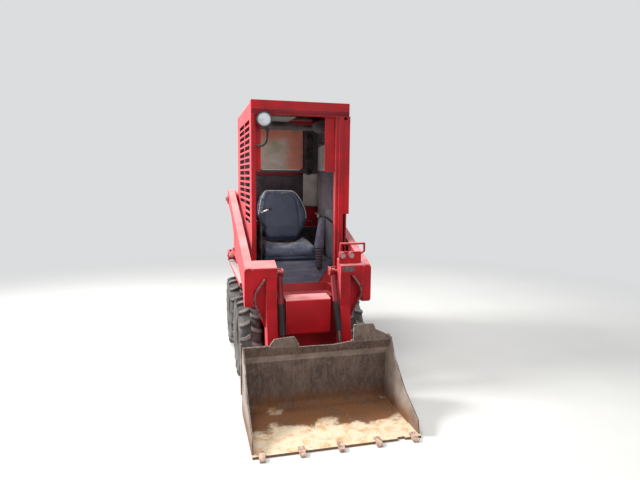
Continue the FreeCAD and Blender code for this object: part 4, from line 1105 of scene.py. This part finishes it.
backLow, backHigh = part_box("seat_back")
backPad = padFrom("seat_back", "seatBackPad", seat["foam"])
backMiddle = seat["backMiddle"]
band = seat["band"]
widest = {}
for vertex in backPad.data.vertices:
    key = (vertex.co.x > backMiddle, round(heightShare(vertex.co) / band))
    widest[key] = max(widest.get(key, 0.0), abs(vertex.co.x - backMiddle))
for vertex in backPad.data.vertices:
    # rounded shoulders, and a lower edge that hangs in the middle
    share = heightShare(vertex.co)
    onLeft = vertex.co.x > backMiddle
    below = math.floor(share / band)
    lowHalf = widest.get((onLeft, below), widest.get((onLeft, below + 1)))
    highHalf = widest.get((onLeft, below + 1), lowHalf)
    now = lowHalf + (highHalf - lowHalf) * (share / band - below)
    wanted = halfAt(seat["leftOutline" if onLeft else "rightOutline"], share)
    vertex.co.x = backMiddle + (vertex.co.x - backMiddle) * min(seat["mostStretch"], wanted / now)
    across = (vertex.co.x - backMiddle) / seat["hangHalf"]
    hang = seat["hang"] * max(0.0, 1.0 - share / seat["hangShare"]) * max(0.0, 1.0 - across ** 2)
    vertex.co.z -= hang
    vertex.co.y += seat["hangBack"] * hang
backPad.data.update()


def backSeam(p):
    # the front panel's sewn line: a rounded square that narrows towards the top
    high = p.z - backLow.z
    wide = seat["panelWide"] - seat["panelNarrow"] * high / seat["panelOver"]
    u = (p.x - backMiddle) / (seat["panelHalf"] * wide)
    w = (high - seat["panelCentre"]) / seat["panelHigh"]
    return channel(((u ** 4 + w ** 4) ** 0.25 - 1.0) * seat["panelHalf"])


sew(backPad, [backSeam])
fit(smooth(backPad, seat["shade"]), "frame", finishes["vinyl"])
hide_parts("seat_back")

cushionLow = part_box("seat_cushion")[0]
cushionPad = padFrom("seat_cushion", "seatCushionPad", seat["foam"])


def cushionSeam(p):
    # one line across the cushion's front
    if p.y >= cushionLow.y + seat["frontDepth"]:
        return 0.0
    return channel(p.z - (cushionLow.z + seat["frontSeam"]))


sew(cushionPad, [cushionSeam])
# the middle is sat down, and the bolsters stand beside it
for vertex in cushionPad.data.vertices:
    p = vertex.co
    if p.z > cushionLow.z + seat["topFrom"]:
        back = min(1.0, max(0.0, (p.y - cushionLow.y - seat["sitFrom"]) / seat["sitOver"]))
        if p.x > seat["leftFrom"]:
            raised = seat["leftBolster"] * ((p.x - seat["leftFrom"]) / seat["bolsterRun"]) ** 1.5
        else:
            raised = seat["rightBolster"] * max(0.0, (seat["rightFrom"] - p.x) / seat["bolsterRun"])
        dip = seat["dip"] * math.exp(-((p.x - seat["cushionMiddle"]) / seat["dipHalf"]) ** 2)
        vertex.co.z += back * (raised - dip)
cushionPad.data.update()
fit(smooth(cushionPad, seat["shade"]), "frame", finishes["vinyl"])
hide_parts("seat_cushion")
print("seat padded")


def tube(name, points, radius, sides=8, kind="NURBS", cyclic=False):
    # a bent bar, hose or piping along a few given points
    curve = bpy.data.curves.new(name, "CURVE")
    curve.dimensions = "3D"
    curve.resolution_u = 8
    curve.bevel_depth = radius
    curve.bevel_resolution = sides // 2 - 1
    curve.use_fill_caps = True
    spline = curve.splines.new(kind)
    spline.points.add(len(points) - 1)
    for spot, point in zip(spline.points, points):
        spot.co = (*point, 1.0)
    spline.use_cyclic_u = cyclic
    if kind == "NURBS":
        spline.use_endpoint_u = not cyclic
        spline.order_u = 3
    piece = bpy.data.objects.new(name, curve)
    bpy.context.collection.objects.link(piece)
    pick(piece)
    bpy.ops.object.convert(target="MESH")
    piece = newest(name)
    return smooth(outward(piece), 50)


# White piping along the top and sides of the backrest
def pipingPoints():
    # the frontmost point of the pad near each spot of the outline
    points = []
    for x, z in seat["pipingOutline"]:
        target = Vector((x, 0, backLow.z + z))
        near = min(backPad.data.vertices, key=lambda v: (
            (v.co.x - target.x) ** 2 + (v.co.z - target.z) ** 2
            + seat["pipingFront"] * max(0, v.co.y - backLow.y)))
        points.append(near.co + near.normal * seat["pipingOut"])
    return points


piping = tube("seatPiping", pipingPoints(), seat["piping"])
fit(piping, "frame", finishes["piping"])


# Levers: rubber boot, padded column and hand bar at the left; a bar with a chromed crank at the right
lever = {
    # places along the lever, and its radii there
    "ball": (0.158, -0.030, 0.7635), "ballRadius": 0.0205, "ballShape": (0.95, 0.95, 1.25),
    "bootFoot": (0.156, -0.034, 0.777), "bootHead": (0.150, -0.040, 0.893),
    "rings": 6, "bootBase": 0.0225, "bootTop": 0.0345, "neck": 0.74,
    "columnFoot": (0.150, -0.040, 0.886), "columnHead": (0.178, -0.028, 1.108),
    "columnProfile": [(0.0, 0.030), (0.05, 0.0345), (0.20, 0.0345), (0.55, 0.030), (0.85, 0.0255),
                      (0.97, 0.0245), (1.0, 0.021)],
    "clamp": [(0.136, -0.046, 1.112), (0.149, -0.030, 1.136)], "clampEdge": 0.003,
    "handBar": [(0.127, -0.027, 1.140), (0.155, -0.027, 1.129), (0.190, -0.027, 1.115),
                (0.215, -0.027, 1.104), (0.238, -0.027, 1.086), (0.257, -0.027, 1.071)],
    "handRadius": 0.0085,
    "sideBar": [(-0.259, -0.040, 0.6505), (-0.259, -0.040, 1.146)], "sideRadius": 0.008, "sideEdge": 0.0015,
    "crank": [(-0.260, -0.040, 1.149), (-0.203, -0.040, 1.171)], "crankRadius": 0.0062, "crankEdge": 0.001,
    "knob": (-0.197, -0.040, 1.174), "knobRadius": 0.0135, "knobShape": (1.1, 0.9, 0.85),
}


def turned(name, foot, head, profile, sides=32):
    # a round piece along a line: a cylinder cut at each step of its profile and drawn to that radius
    foot, head = Vector(foot), Vector(head)
    way = head - foot
    bpy.ops.mesh.primitive_cylinder_add(vertices=sides, radius=1, depth=1)
    piece = newest(name)
    for share, radius in profile[1:-1]:
        editing(piece)
        bpy.ops.mesh.bisect(plane_co=(0, 0, share - 0.5), plane_no=(0, 0, 1))
        leaveEdit()
    turn = way.to_track_quat("Z", "Y").to_matrix()
    for vertex in piece.data.vertices:
        share = vertex.co.z + 0.5
        radius = min(profile, key=lambda step: abs(step[0] - share))[1]
        vertex.co = foot + turn @ Vector((vertex.co.x * radius, vertex.co.y * radius, share * way.length))
    piece.data.update()
    return piece


def bootProfile():
    # moulded rings: every second step is drawn in
    steps = lever["rings"] * 2
    profile = []
    for i in range(steps + 1):
        radius = lever["bootBase"] + (lever["bootTop"] - lever["bootBase"]) * i / steps
        profile.append((i / steps, radius * (lever["neck"] if i % 2 == 0 else 1.0)))
    return profile


boot = turned("leverBoot", lever["bootFoot"], lever["bootHead"], bootProfile())
crest = boot.data.attributes.new("crest", "FLOAT", "POINT")
footHigh, headHigh = lever["bootFoot"][2], lever["bootHead"][2]
bootSteps = [round((v.co.z - footHigh) / (headHigh - footHigh) * lever["rings"] * 2)
             for v in boot.data.vertices]
crest.data.foreach_set("value", [float(step % 2) for step in bootSteps])
addModifier(boot, "SUBSURF", levels=2, render_levels=2)
applyAll(boot)
fit(smooth(boot, 60), "frame", finishes["boot"])
bpy.ops.mesh.primitive_uv_sphere_add(
    segments=32, ring_count=20, radius=lever["ballRadius"], location=lever["ball"])
ball = newest("leverBall")
ball.scale = lever["ballShape"]
fit(smooth(ball, 60), "frame", finishes["plastic"])
column = turned("leverColumn", lever["columnFoot"], lever["columnHead"], lever["columnProfile"])
addModifier(column, "SUBSURF", levels=2, render_levels=2)
applyAll(column)
fit(smooth(column, 60), "frame", finishes["grip"])
clamp = block("leverClamp", *lever["clamp"], lever["clampEdge"], 2)
fit(clamp, "frame", finishes["pin"])
handBar = tube("leverHandBar", lever["handBar"], lever["handRadius"], 10)
fit(handBar, "frame", finishes["plastic"])
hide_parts("lever_left")
sideBar = rod("sideBar", *lever["sideBar"], lever["sideRadius"], 20, lever["sideEdge"])
fit(sideBar, "frame", finishes["plastic"])
crank = rod("sideBarCrank", *lever["crank"], lever["crankRadius"], 20, lever["crankEdge"])
fit(crank, "frame", finishes["chrome"])
bpy.ops.mesh.primitive_uv_sphere_add(
    segments=24, ring_count=14, radius=lever["knobRadius"], location=lever["knob"])
knob = newest("sideBarKnob")
knob.scale = lever["knobShape"]
fit(smooth(knob, 60), "frame", finishes["plastic"])
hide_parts("lever_right")
print("levers made")


# Lamps: the round work lamp's lens, and the twin lamps' lenses and rims
lamps = {
    "workSpot": (-0.252, -0.160, 1.761), "workRadius": 0.0425, "workBulge": 0.0036,
    # the twin lamps on the box: places across, height, lens and rim
    "twinX": [0.223, 0.281], "twinZ": 0.8905, "twinRadius": 0.0185, "twinBulge": 0.0009, "twinOut": 0.0004,
    "rimRadius": 0.0195, "rimThick": 0.0022,
}


def lensDome(name, spot, radius, bulge, material, body):
    # a shallow pressed dome: a fine sphere flattened, its back half cut away and the rim closed
    bpy.ops.mesh.primitive_uv_sphere_add(segments=48, ring_count=24, radius=radius, location=(0, 0, 0))
    dome = newest(name)
    editing(dome)
    bpy.ops.mesh.bisect(plane_co=(0, 0, 0.0), plane_no=(0, 0, 1), clear_inner=True, use_fill=True)
    leaveEdit()
    for vertex in dome.data.vertices:
        x, y, z = vertex.co
        vertex.co = (spot[0] + x, spot[1] - z / radius * bulge, spot[2] + y)
    dome.data.update()
    outward(dome)
    return fit(smooth(dome, 50), body, material)


lensDome("workLampLens", lamps["workSpot"], lamps["workRadius"], lamps["workBulge"],
         finishes["lens"], "frame")
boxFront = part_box("lamp_box")[0].y
for index, x in enumerate(lamps["twinX"]):
    number = str(index + 1)
    lensDome("smallLens" + number, (x, boxFront + lamps["twinOut"], lamps["twinZ"]), lamps["twinRadius"],
             lamps["twinBulge"], finishes["smallLens"], "lift_arm")
    bpy.ops.mesh.primitive_torus_add(
        major_segments=40, minor_segments=10, major_radius=lamps["rimRadius"], minor_radius=lamps["rimThick"],
        location=(x, boxFront + lamps["rimThick"], lamps["twinZ"]), rotation=(math.pi / 2, 0, 0))
    fit(smooth(newest("smallLampRing" + number), 60), "lift_arm", finishes["enamel"])
print("lamps made")


# Rear window: pane, gasket and the bead below them
window = {
    "middle": 0.007, "half": 0.187, "low": 1.447, "high": 1.788, "corner": 0.030,
    "paneY": 0.679, "paneThick": 0.004, "gasketRadius": 0.0045,
    "bead": [(-0.150, 0.6705, 1.4460), (0.165, 0.6765, 1.4545)], "beadEdge": 0.0012,
}


def gasketPoints():
    # a closed line with rounded corners around the pane
    half, low, high, corner = (window[key] for key in ("half", "low", "high", "corner"))
    points = []
    for cx, cz, start in ((half - corner, high - corner, 0), (-half + corner, high - corner, 90),
                          (-half + corner, low + corner, 180), (half - corner, low + corner, 270)):
        for i in range(5):
            a = math.radians(start + 22.5 * i)
            points.append((window["middle"] + cx + corner * math.cos(a), window["paneY"],
                           cz + corner * math.sin(a)))
    return points


bead = block("windowBead", *window["bead"], window["beadEdge"], 2)
fit(bead, "frame", finishes["bead"])
bpy.ops.mesh.primitive_cube_add(
    size=1, location=(window["middle"], window["paneY"], (window["low"] + window["high"]) / 2))
pane = newest("rearPane")
pane.scale = (2 * window["half"], window["paneThick"], window["high"] - window["low"])
freeze(pane)
editing(pane)
bpy.ops.mesh.select_mode(type="EDGE")
bpy.ops.mesh.select_all(action="DESELECT")
paneMesh = bmesh.from_edit_mesh(pane.data)
for edge in paneMesh.edges:
    # the four short edges through the pane's thickness
    edge.select_set(abs(edge.verts[0].co.y - edge.verts[1].co.y) > window["paneThick"] / 2)
bmesh.update_edit_mesh(pane.data)
bpy.ops.mesh.bevel(offset=window["corner"], segments=6, affect="EDGES")
leaveEdit()
fit(smooth(pane, 40), "frame", finishes["glass"])
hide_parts("rear_window")
gasket = tube("windowGasket", gasketPoints(), window["gasketRadius"], 8, "POLY", True)
fit(gasket, "frame", finishes["plastic"])


# Cab trim: thin panels and foam, all of them a little dented
def crumple(piece, amount, scale, seed, along=None):
    # gentle waves and dents in sheet or board
    for vertex, normal in zip(piece.data.vertices, [v.normal.copy() for v in piece.data.vertices]):
        p = vertex.co * scale
        wave = (math.sin(p.x * 1.7 + seed) + math.sin(p.z * 2.3 + 1.3 * seed)
                + math.sin((p.x + p.z) * 3.1 + 0.7 * seed) + math.sin(p.y * 2.9 + seed * 2.1)) / 4
        vertex.co += (along or normal) * amount * wave
    piece.data.update()


def panel(name, low, high, thick, cuts, amount, scale, seed, along):
    # a thin panel: a plate cut fine, dented and rounded at its edges
    piece = block(name, low, high, thick, 2)
    editing(piece)
    bpy.ops.mesh.subdivide(number_cuts=cuts)
    leaveEdit()
    crumple(piece, amount, scale, seed, Vector(along))
    return smooth(piece, 50)


# Rear panel and boards, left liners, and the roof's board and rail
trimTable = [
    # name, low corner, high corner, cuts, wave, pitch, axis of the wave, finish, slot
    ("rearTrimPanel", (-0.268, 0.672, 1.065), (0.190, 0.681, 1.398), 10, 0.0018, 9, (0, 1, 0),
     "brownFelt", "liner_foam"),
    ("bareRearBoard", (0.194, 0.670, 1.150), (0.316, 0.680, 1.420), 10, 0.0035, 16, (0, 1, 0),
     "beigeFelt", "liner_foam"),
    ("rearLowBoard", (0.184, 0.672, 1.035), (0.316, 0.680, 1.142), 6, 0.0020, 16, (0, 1, 0),
     "enamel", "faded_red"),
    # this bar's darker enamel is painted shade
    ("windowSillBar", (-0.268, 0.666, 1.404), (0.190, 0.681, 1.428), 6, 0.0004, 9, (0, 1, 0),
     "shadeEnamel", "red_paint"),
    ("leftSideLiner", (0.3125, -0.030, 1.145), (0.3235, 0.660, 1.440), 12, 0.0020, 12, (1, 0, 0),
     "mottled", "liner_foam"),
    ("leftUpperLiner", (0.3145, 0.080, 1.448), (0.3235, 0.660, 1.640), 10, 0.0015, 10, (1, 0, 0),
     "beigeFelt", "liner_foam"),
    ("leftTopLiner", (0.3125, 0.080, 1.646), (0.3235, 0.660, 1.790), 10, 0.0025, 14, (1, 0, 0),
     "felt", "liner_foam"),
    ("leftLowerPanel", (0.3120, -0.060, 0.664), (0.3235, 0.640, 1.1435), 8, 0.0008, 6, (1, 0, 0),
     "innerPanel", "grey_panel"),
    ("bulkheadLiner", (-0.280, 0.514, 0.800), (0.280, 0.522, 0.992), 8, 0.0015, 9, (0, 1, 0),
     "felt", "liner_foam"),
    ("seatSkirt", (-0.215, 0.385, 0.800), (0.135, 0.392, 0.930), 8, 0.0015, 14, (0, 1, 0),
     "felt", "liner_foam"),
    ("roofBoard", (-0.195, -0.060, 1.7915), (-0.020, 0.236, 1.7985), 8, 0.0012, 12, (0, 0, 1),
     "greenFelt", "liner_foam"),
    # the rail's darker enamel is painted shade
    ("roofRail", (0.020, 0.226, 1.772), (0.225, 0.240, 1.7985), 4, 0.0004, 9, (0, 1, 0),
     "shadeEnamel", "red_paint"),
]
trimEdge = 0.0022
for index, (name, low, high, cuts, wave, pitch, axis, finishName, slotName) in enumerate(trimTable):
    piece = panel(name, low, high, trimEdge, cuts, wave, pitch, index + 1.0, axis)
    fit(piece, "frame", finishes[finishName])


foamRolls = {
    # the edge as a share of the roll's least thickness, the mesh's cell, and two pitches of dents
    "edgeShare": 0.42, "voxel": 0.008, "wavePitch": 26, "dentPitch": 61, "dentShare": 0.6,
}


def bolster(name, low, high, wave, seed):
    # a foam roll: a block with wide rounded edges, cut fine and dented all over
    low, high = Vector(low), Vector(high)
    piece = block(name, low, high, min(high - low) * foamRolls["edgeShare"], 4)
    addModifier(piece, "REMESH", mode="VOXEL", voxel_size=foamRolls["voxel"])
    applyAll(piece)
    crumple(piece, wave, foamRolls["wavePitch"], seed)
    crumple(piece, wave * foamRolls["dentShare"], foamRolls["dentPitch"], seed + 2)
    addModifier(piece, "SMOOTH", factor=0.5, iterations=2)
    applyAll(piece)
    fit(smooth(piece, 70), "frame", finishes["felt"])
    return piece


# The roof liner's rear roll turns down beside the window, and its torn foam hangs at the machine's left
roofLiner = {
    "foam": {"shrink": 0.003, "voxel": 0.010, "cap": 0.006, "pressure": 3.0, "frames": 20},
    "wave": 0.004, "pitch": 22, "seed": 5.0,
    "stay": [(0.206, 0.240, 1.655), (0.312, 0.240, 1.632)], "stayRadius": 0.005, "stayEdge": 0.001,
}
bolster("windowSideRoll", (0.199, 0.606, 1.410), (0.268, 0.668, 1.742), 0.006, 1.0)
bolster("tornRoofFoam", (0.150, 0.060, 1.722), (0.306, 0.250, 1.793), 0.009, 4.0)
bolster("hangingFoam", (0.262, 0.120, 1.640), (0.310, 0.330, 1.740), 0.009, 7.0)
stay = rod("roofStay", *roofLiner["stay"], roofLiner["stayRadius"], 14, roofLiner["stayEdge"])
fit(stay, "frame", finishes["plastic"])

liner = padFrom("headliner", "roofLinerPad", roofLiner["foam"])
crumple(liner, roofLiner["wave"], roofLiner["pitch"], roofLiner["seed"])
fit(smooth(liner, 60), "frame", finishes["felt"])
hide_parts("headliner")
print("cab trimmed")


# Bolts and pin heads
bolt = {
    # shares of the head's own size
    "washerHigh": 0.22, "washerWide": 1.25, "washerEdge": 0.06, "headTop": 0.85, "headEdge": 0.12,
}
# the hood's top falls back from its front edge
hood = {"frontY": 0.684, "frontZ": 1.030, "slope": 0.125}


def hexBolt(name, spot, way, size):
    # a hexagon head on its washer, looking along way
    spot, way = Vector(spot), Vector(way).normalized()
    step = spot + way * size * bolt["washerHigh"]
    washer = rod(name, spot, step, size * bolt["washerWide"], 20, size * bolt["washerEdge"])
    head = rod(name, step, spot + way * size * bolt["headTop"], size, 6, size * bolt["headEdge"])
    return [washer, head]


boltTable = [
    # name, body, and (spot, way, size) of each head on the machine's left; the right side mirrors it
    ("pivotBolt", "frame", [
        ((0.4190, 0.889, 1.200), (1, 0, 0), 0.0150), ((0.4120, 0.984, 0.700), (1, 0, 0), 0.0085)]),
    ("armPin", "lift_arm", [
        ((0.4150, 0.334, 0.850), (1, 0, 0), 0.0095), ((0.2950, -0.441, 0.130), (1, 0, 0), 0.0085),
        ((0.1560, -0.301, 0.775), (-1, 0, 0), 0.0070)]),
    ("hoodBolt", "frame", [
        ((0.235, y, hood["frontZ"] - hood["slope"] * (y - hood["frontY"])), (0, hood["slope"], 1), 0.0075)
        for y in (0.73, 0.88, 1.03)]),
    ("weightBolt", "frame", [((0.215, 1.108, z), (0, 1, 0), 0.0100) for z in (0.215, 0.285)]),
    ("seatDeckBolt", "frame", [((0.225, y, 0.795), (0, 0, 1), 0.0065) for y in (0.060, 0.250)]),
    ("stepBolt", "frame", [((0.330, y, 0.650), (0, 0, 1), 0.0060) for y in (0.10, 0.34, 0.62, 0.90)]),
]
for name, body, heads in boltTable:
    for side, sign in (("Left", 1), ("Right", -1)):
        parts = []
        for spot, way, size in heads:
            parts += hexBolt(name, (spot[0] * sign, *spot[1:]), (way[0] * sign, *way[1:]), size)
        fit(joinPieces(name + side, parts), body, finishes["pin"])

# Cab header: the folded strip along its lower edge, in the darker enamel that paints shade on it, and the
# corner at the machine's left
header = {
    "fold": [(-0.331, -0.1180, 1.8005), (0.338, -0.1105, 1.8360)], "foldEdge": 0.0009,
    # the strip's lower front edge, ahead of one y and below one height, is tucked in
    "tuckFront": -0.115, "tuckBelow": 1.815, "tuck": 0.0065,
    "corner": [(0.3325, -0.1105, 1.7650), (0.3475, -0.0700, 1.8060)], "cornerEdge": 0.0012,
}
fold = block("headerFold", *header["fold"], header["foldEdge"], 2)
for vertex in fold.data.vertices:
    if vertex.co.y < header["tuckFront"] and vertex.co.z < header["tuckBelow"]:
        vertex.co.y += header["tuck"]
fit(fold, "frame", finishes["shadeEnamel"])
corner = block("headerCorner", *header["corner"], header["cornerEdge"], 2)
fit(corner, "frame", finishes["enamel"])

# Drop plate: the arm's front end is closed by a plate with a round head
dropPlate = {
    "thick": 0.0035, "foot": 0.012, "top": 0.830, "side": 0.001, "edge": 0.0010, "cuts": 10,
    "roundShare": 0.8, "roundFrom": 0.72, "roundOver": 0.11,
}
armLow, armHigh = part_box("arm_left")
for side, sign in (("Left", 1), ("Right", -1)):
    ends = sorted((sign * (armLow.x + dropPlate["side"]), sign * (armHigh.x - dropPlate["side"])))
    low = (ends[0], armLow.y - dropPlate["thick"], armLow.z + dropPlate["foot"])
    plate = block("dropPlate" + side, low, (ends[1], armLow.y, dropPlate["top"]), dropPlate["edge"], 2)
    middleX = (ends[0] + ends[1]) / 2
    half = (ends[1] - ends[0]) / 2
    editing(plate)
    bpy.ops.mesh.subdivide(number_cuts=dropPlate["cuts"])
    leaveEdit()
    for vertex in plate.data.vertices:
        reach = min(1.0, abs((vertex.co.x - middleX) / half))
        headDrop = half * dropPlate["roundShare"] * (1.0 - math.sqrt(1.0 - reach ** 2))
        vertex.co.z -= headDrop * max(0.0, (vertex.co.z - dropPlate["roundFrom"]) / dropPlate["roundOver"])
    plate.data.update()
    fit(smooth(plate, 40), "lift_arm", finishes["enamel"])

# Blank plate on the left cross box, held by four drive screws
blankPlate = {
    "x": (0.219, 0.300), "z": (0.786, 0.820), "thick": 0.0016, "edge": 0.0006,
    "screwX": (0.224, 0.295), "screwZ": (0.790, 0.816), "screwRadius": 0.0018, "screwFoot": 0.001,
    "screwHead": 0.003,
}
front = armLow.y
plateLow = (blankPlate["x"][0], front - blankPlate["thick"], blankPlate["z"][0])
plateHigh = (blankPlate["x"][1], front, blankPlate["z"][1])
plateParts = [block("boxPlate", plateLow, plateHigh, blankPlate["edge"], 1)]
for x in blankPlate["screwX"]:
    for z in blankPlate["screwZ"]:
        plateParts.append(rod("driveScrew", (x, front - blankPlate["screwFoot"], z),
                              (x, front - blankPlate["screwHead"], z), blankPlate["screwRadius"], 10))
fit(joinPieces("boxPlate", plateParts), "lift_arm", finishes["worn"])

# Feed pipe of the tilt cylinder: bent steel line on the gusset, mirrored
feedPipe = {
    "route": [(0.288, -0.411, 0.761), (0.313, -0.412, 0.727), (0.341, -0.412, 0.688), (0.352, -0.396, 0.631),
              (0.329, -0.364, 0.563), (0.297, -0.358, 0.488)],
    "radius": 0.0068,
}
for side, sign in (("Left", 1), ("Right", -1)):
    route = [(sign * x, y, z) for x, y, z in feedPipe["route"]]
    feed = tube("feedPipe" + side, route, feedPipe["radius"], 12)
    fit(feed, "lift_arm", finishes["feed"])

# Work lamp: its black stirrup below the header, and the sleeve of its wire into the post
lampHolder = {
    "stirrup": [(-0.252, -0.120, 1.735), (-0.238, -0.112, 1.712), (-0.226, -0.104, 1.700),
                (-0.214, -0.100, 1.700)],
    "stirrupRadius": 0.0125,
    "sleeve": [(-0.222, -0.104, 1.706), (-0.222, -0.106, 1.670), (-0.226, -0.108, 1.625),
               (-0.246, -0.106, 1.598), (-0.272, -0.100, 1.592), (-0.3005, -0.096, 1.600)],
    "sleeveRadius": 0.0064,
}
stirrup = tube("lampStirrup", lampHolder["stirrup"], lampHolder["stirrupRadius"], 12)
fit(stirrup, "frame", finishes["plastic"])
sleeve = tube("lampWireSleeve", lampHolder["sleeve"], lampHolder["sleeveRadius"], 12)
fit(sleeve, "frame", finishes["plastic"])
print("bolts and fittings made")


# Floor, light and camera
studio = {
    "floorSize": 24, "floor": "#d4d3cf", "floorPatch": "#dddcd8", "floorRough": 0.9,
    # the floor passes into the background between these two distances from the machine
    "fadeFrom": 2.2, "fadeTo": 6.0, "background": "#e4e5e6", "backgroundGlow": 0.92,
    "sky": "#dfe3e8", "skyGlow": 0.5, "lampAim": (0, -0.2, 0.7),
}
bpy.ops.mesh.primitive_plane_add(size=studio["floorSize"], location=(0, 0, 0))
floor = newest("studioFloor")
floorMaterial = blank("paleStudioFloor")
floorPlace = addNode(floorMaterial, "TexCoord").outputs["Object"]
floorCloud = addNode(floorMaterial, "TexNoise", {
    "Vector": floorPlace, "Scale": 2.0, "Detail": 3.0, "Roughness": 0.55})
floorShader = addNode(floorMaterial, "BsdfPrincipled", {
    "Base Color": addNode(floorMaterial, "Mix", {
        0: floorCloud, 6: studio["floor"], 7: studio["floorPatch"]}, **blended),
    "Roughness": studio["floorRough"]})
# far from the machine the floor passes into the pale background
reach = addNode(floorMaterial, "VectorMath", {0: floorPlace}, operation="LENGTH")
seenFloor = addNode(floorMaterial, "LightPath").outputs["Is Camera Ray"]
farOff = addNode(floorMaterial, "Math", {
    0: addNode(floorMaterial, "MapRange", {
        "Value": reach, "From Min": studio["fadeFrom"], "From Max": studio["fadeTo"]}, **eased),
    1: seenFloor}, **product)
backdrop = addNode(floorMaterial, "Emission", {
    "Color": studio["background"], "Strength": studio["backgroundGlow"]})
floorMix = addNode(floorMaterial, "MixShader", {"Fac": farOff, 1: floorShader, 2: backdrop})
addNode(floorMaterial, "OutputMaterial", {"Surface": floorMix})
floor.data.materials.append(floorMaterial)

world = bpy.data.worlds.new("softStudio")
bpy.context.scene.world = world
world.use_nodes = True
world.node_tree.nodes.clear()
seen = addNode(world, "LightPath")
bright = addNode(world, "Math", {
    0: addNode(world, "Math", {
        0: seen.outputs["Is Camera Ray"], 1: seen.outputs["Is Glossy Ray"]}, **largest),
    1: seen.outputs["Is Transmission Ray"]}, **largest)
soft = addNode(world, "Background", {"Color": studio["sky"], "Strength": studio["skyGlow"]})
pale = addNode(world, "Background", {"Color": studio["background"], "Strength": studio["backgroundGlow"]})
worldMix = addNode(world, "MixShader", {"Fac": bright, 1: soft, 2: pale})
addNode(world, "OutputWorld", {"Surface": worldMix})

lampTable = [
    # name, place, size, watts
    ("keyLamp", (-4.2, 0.9, 4.4), 1.5, 430),
    ("topLamp", (-1.4, -1.2, 6.0), 1.8, 200),
    ("frontLamp", (1.2, -5.0, 3.0), 3.0, 58),
    ("rimLamp", (3.5, 3.0, 3.0), 2.5, 60),
]
for lampName, place, size, watts in lampTable:
    light = bpy.data.lights.new(lampName, "AREA")
    light.size = size
    light.energy = watts
    lamp = bpy.data.objects.new(lampName, light)
    lamp.location = place
    lamp.rotation_euler = (Vector(studio["lampAim"]) - Vector(place)).to_track_quat("-Z", "Y").to_euler()
    bpy.context.collection.objects.link(lamp)

cameraView = {"place": (-0.726, -3.439, 1.395), "yaw": 14.59, "pitch": 7.20, "roll": 0.56, "lens": 28.11}
yaw, pitch, roll = (math.radians(cameraView[k]) for k in ("yaw", "pitch", "roll"))
forward = Vector((math.sin(yaw) * math.cos(pitch), math.cos(yaw) * math.cos(pitch), -math.sin(pitch)))
right = Vector((math.cos(yaw), -math.sin(yaw), 0))
up = right.cross(forward)
rolledRight = right * math.cos(roll) + up * math.sin(roll)
rolledUp = up * math.cos(roll) - right * math.sin(roll)
cameraData = bpy.data.cameras.new("photographView")
cameraData.lens = cameraView["lens"]
cameraData.sensor_width = 36
cameraData.sensor_fit = "HORIZONTAL"
camera = bpy.data.objects.new("photographView", cameraData)
camera.matrix_world = Matrix.Translation(cameraView["place"]) @ Matrix(
    (rolledRight, rolledUp, -forward)).transposed().to_4x4()
bpy.context.collection.objects.link(camera)
bpy.context.scene.camera = camera
print("stage set")
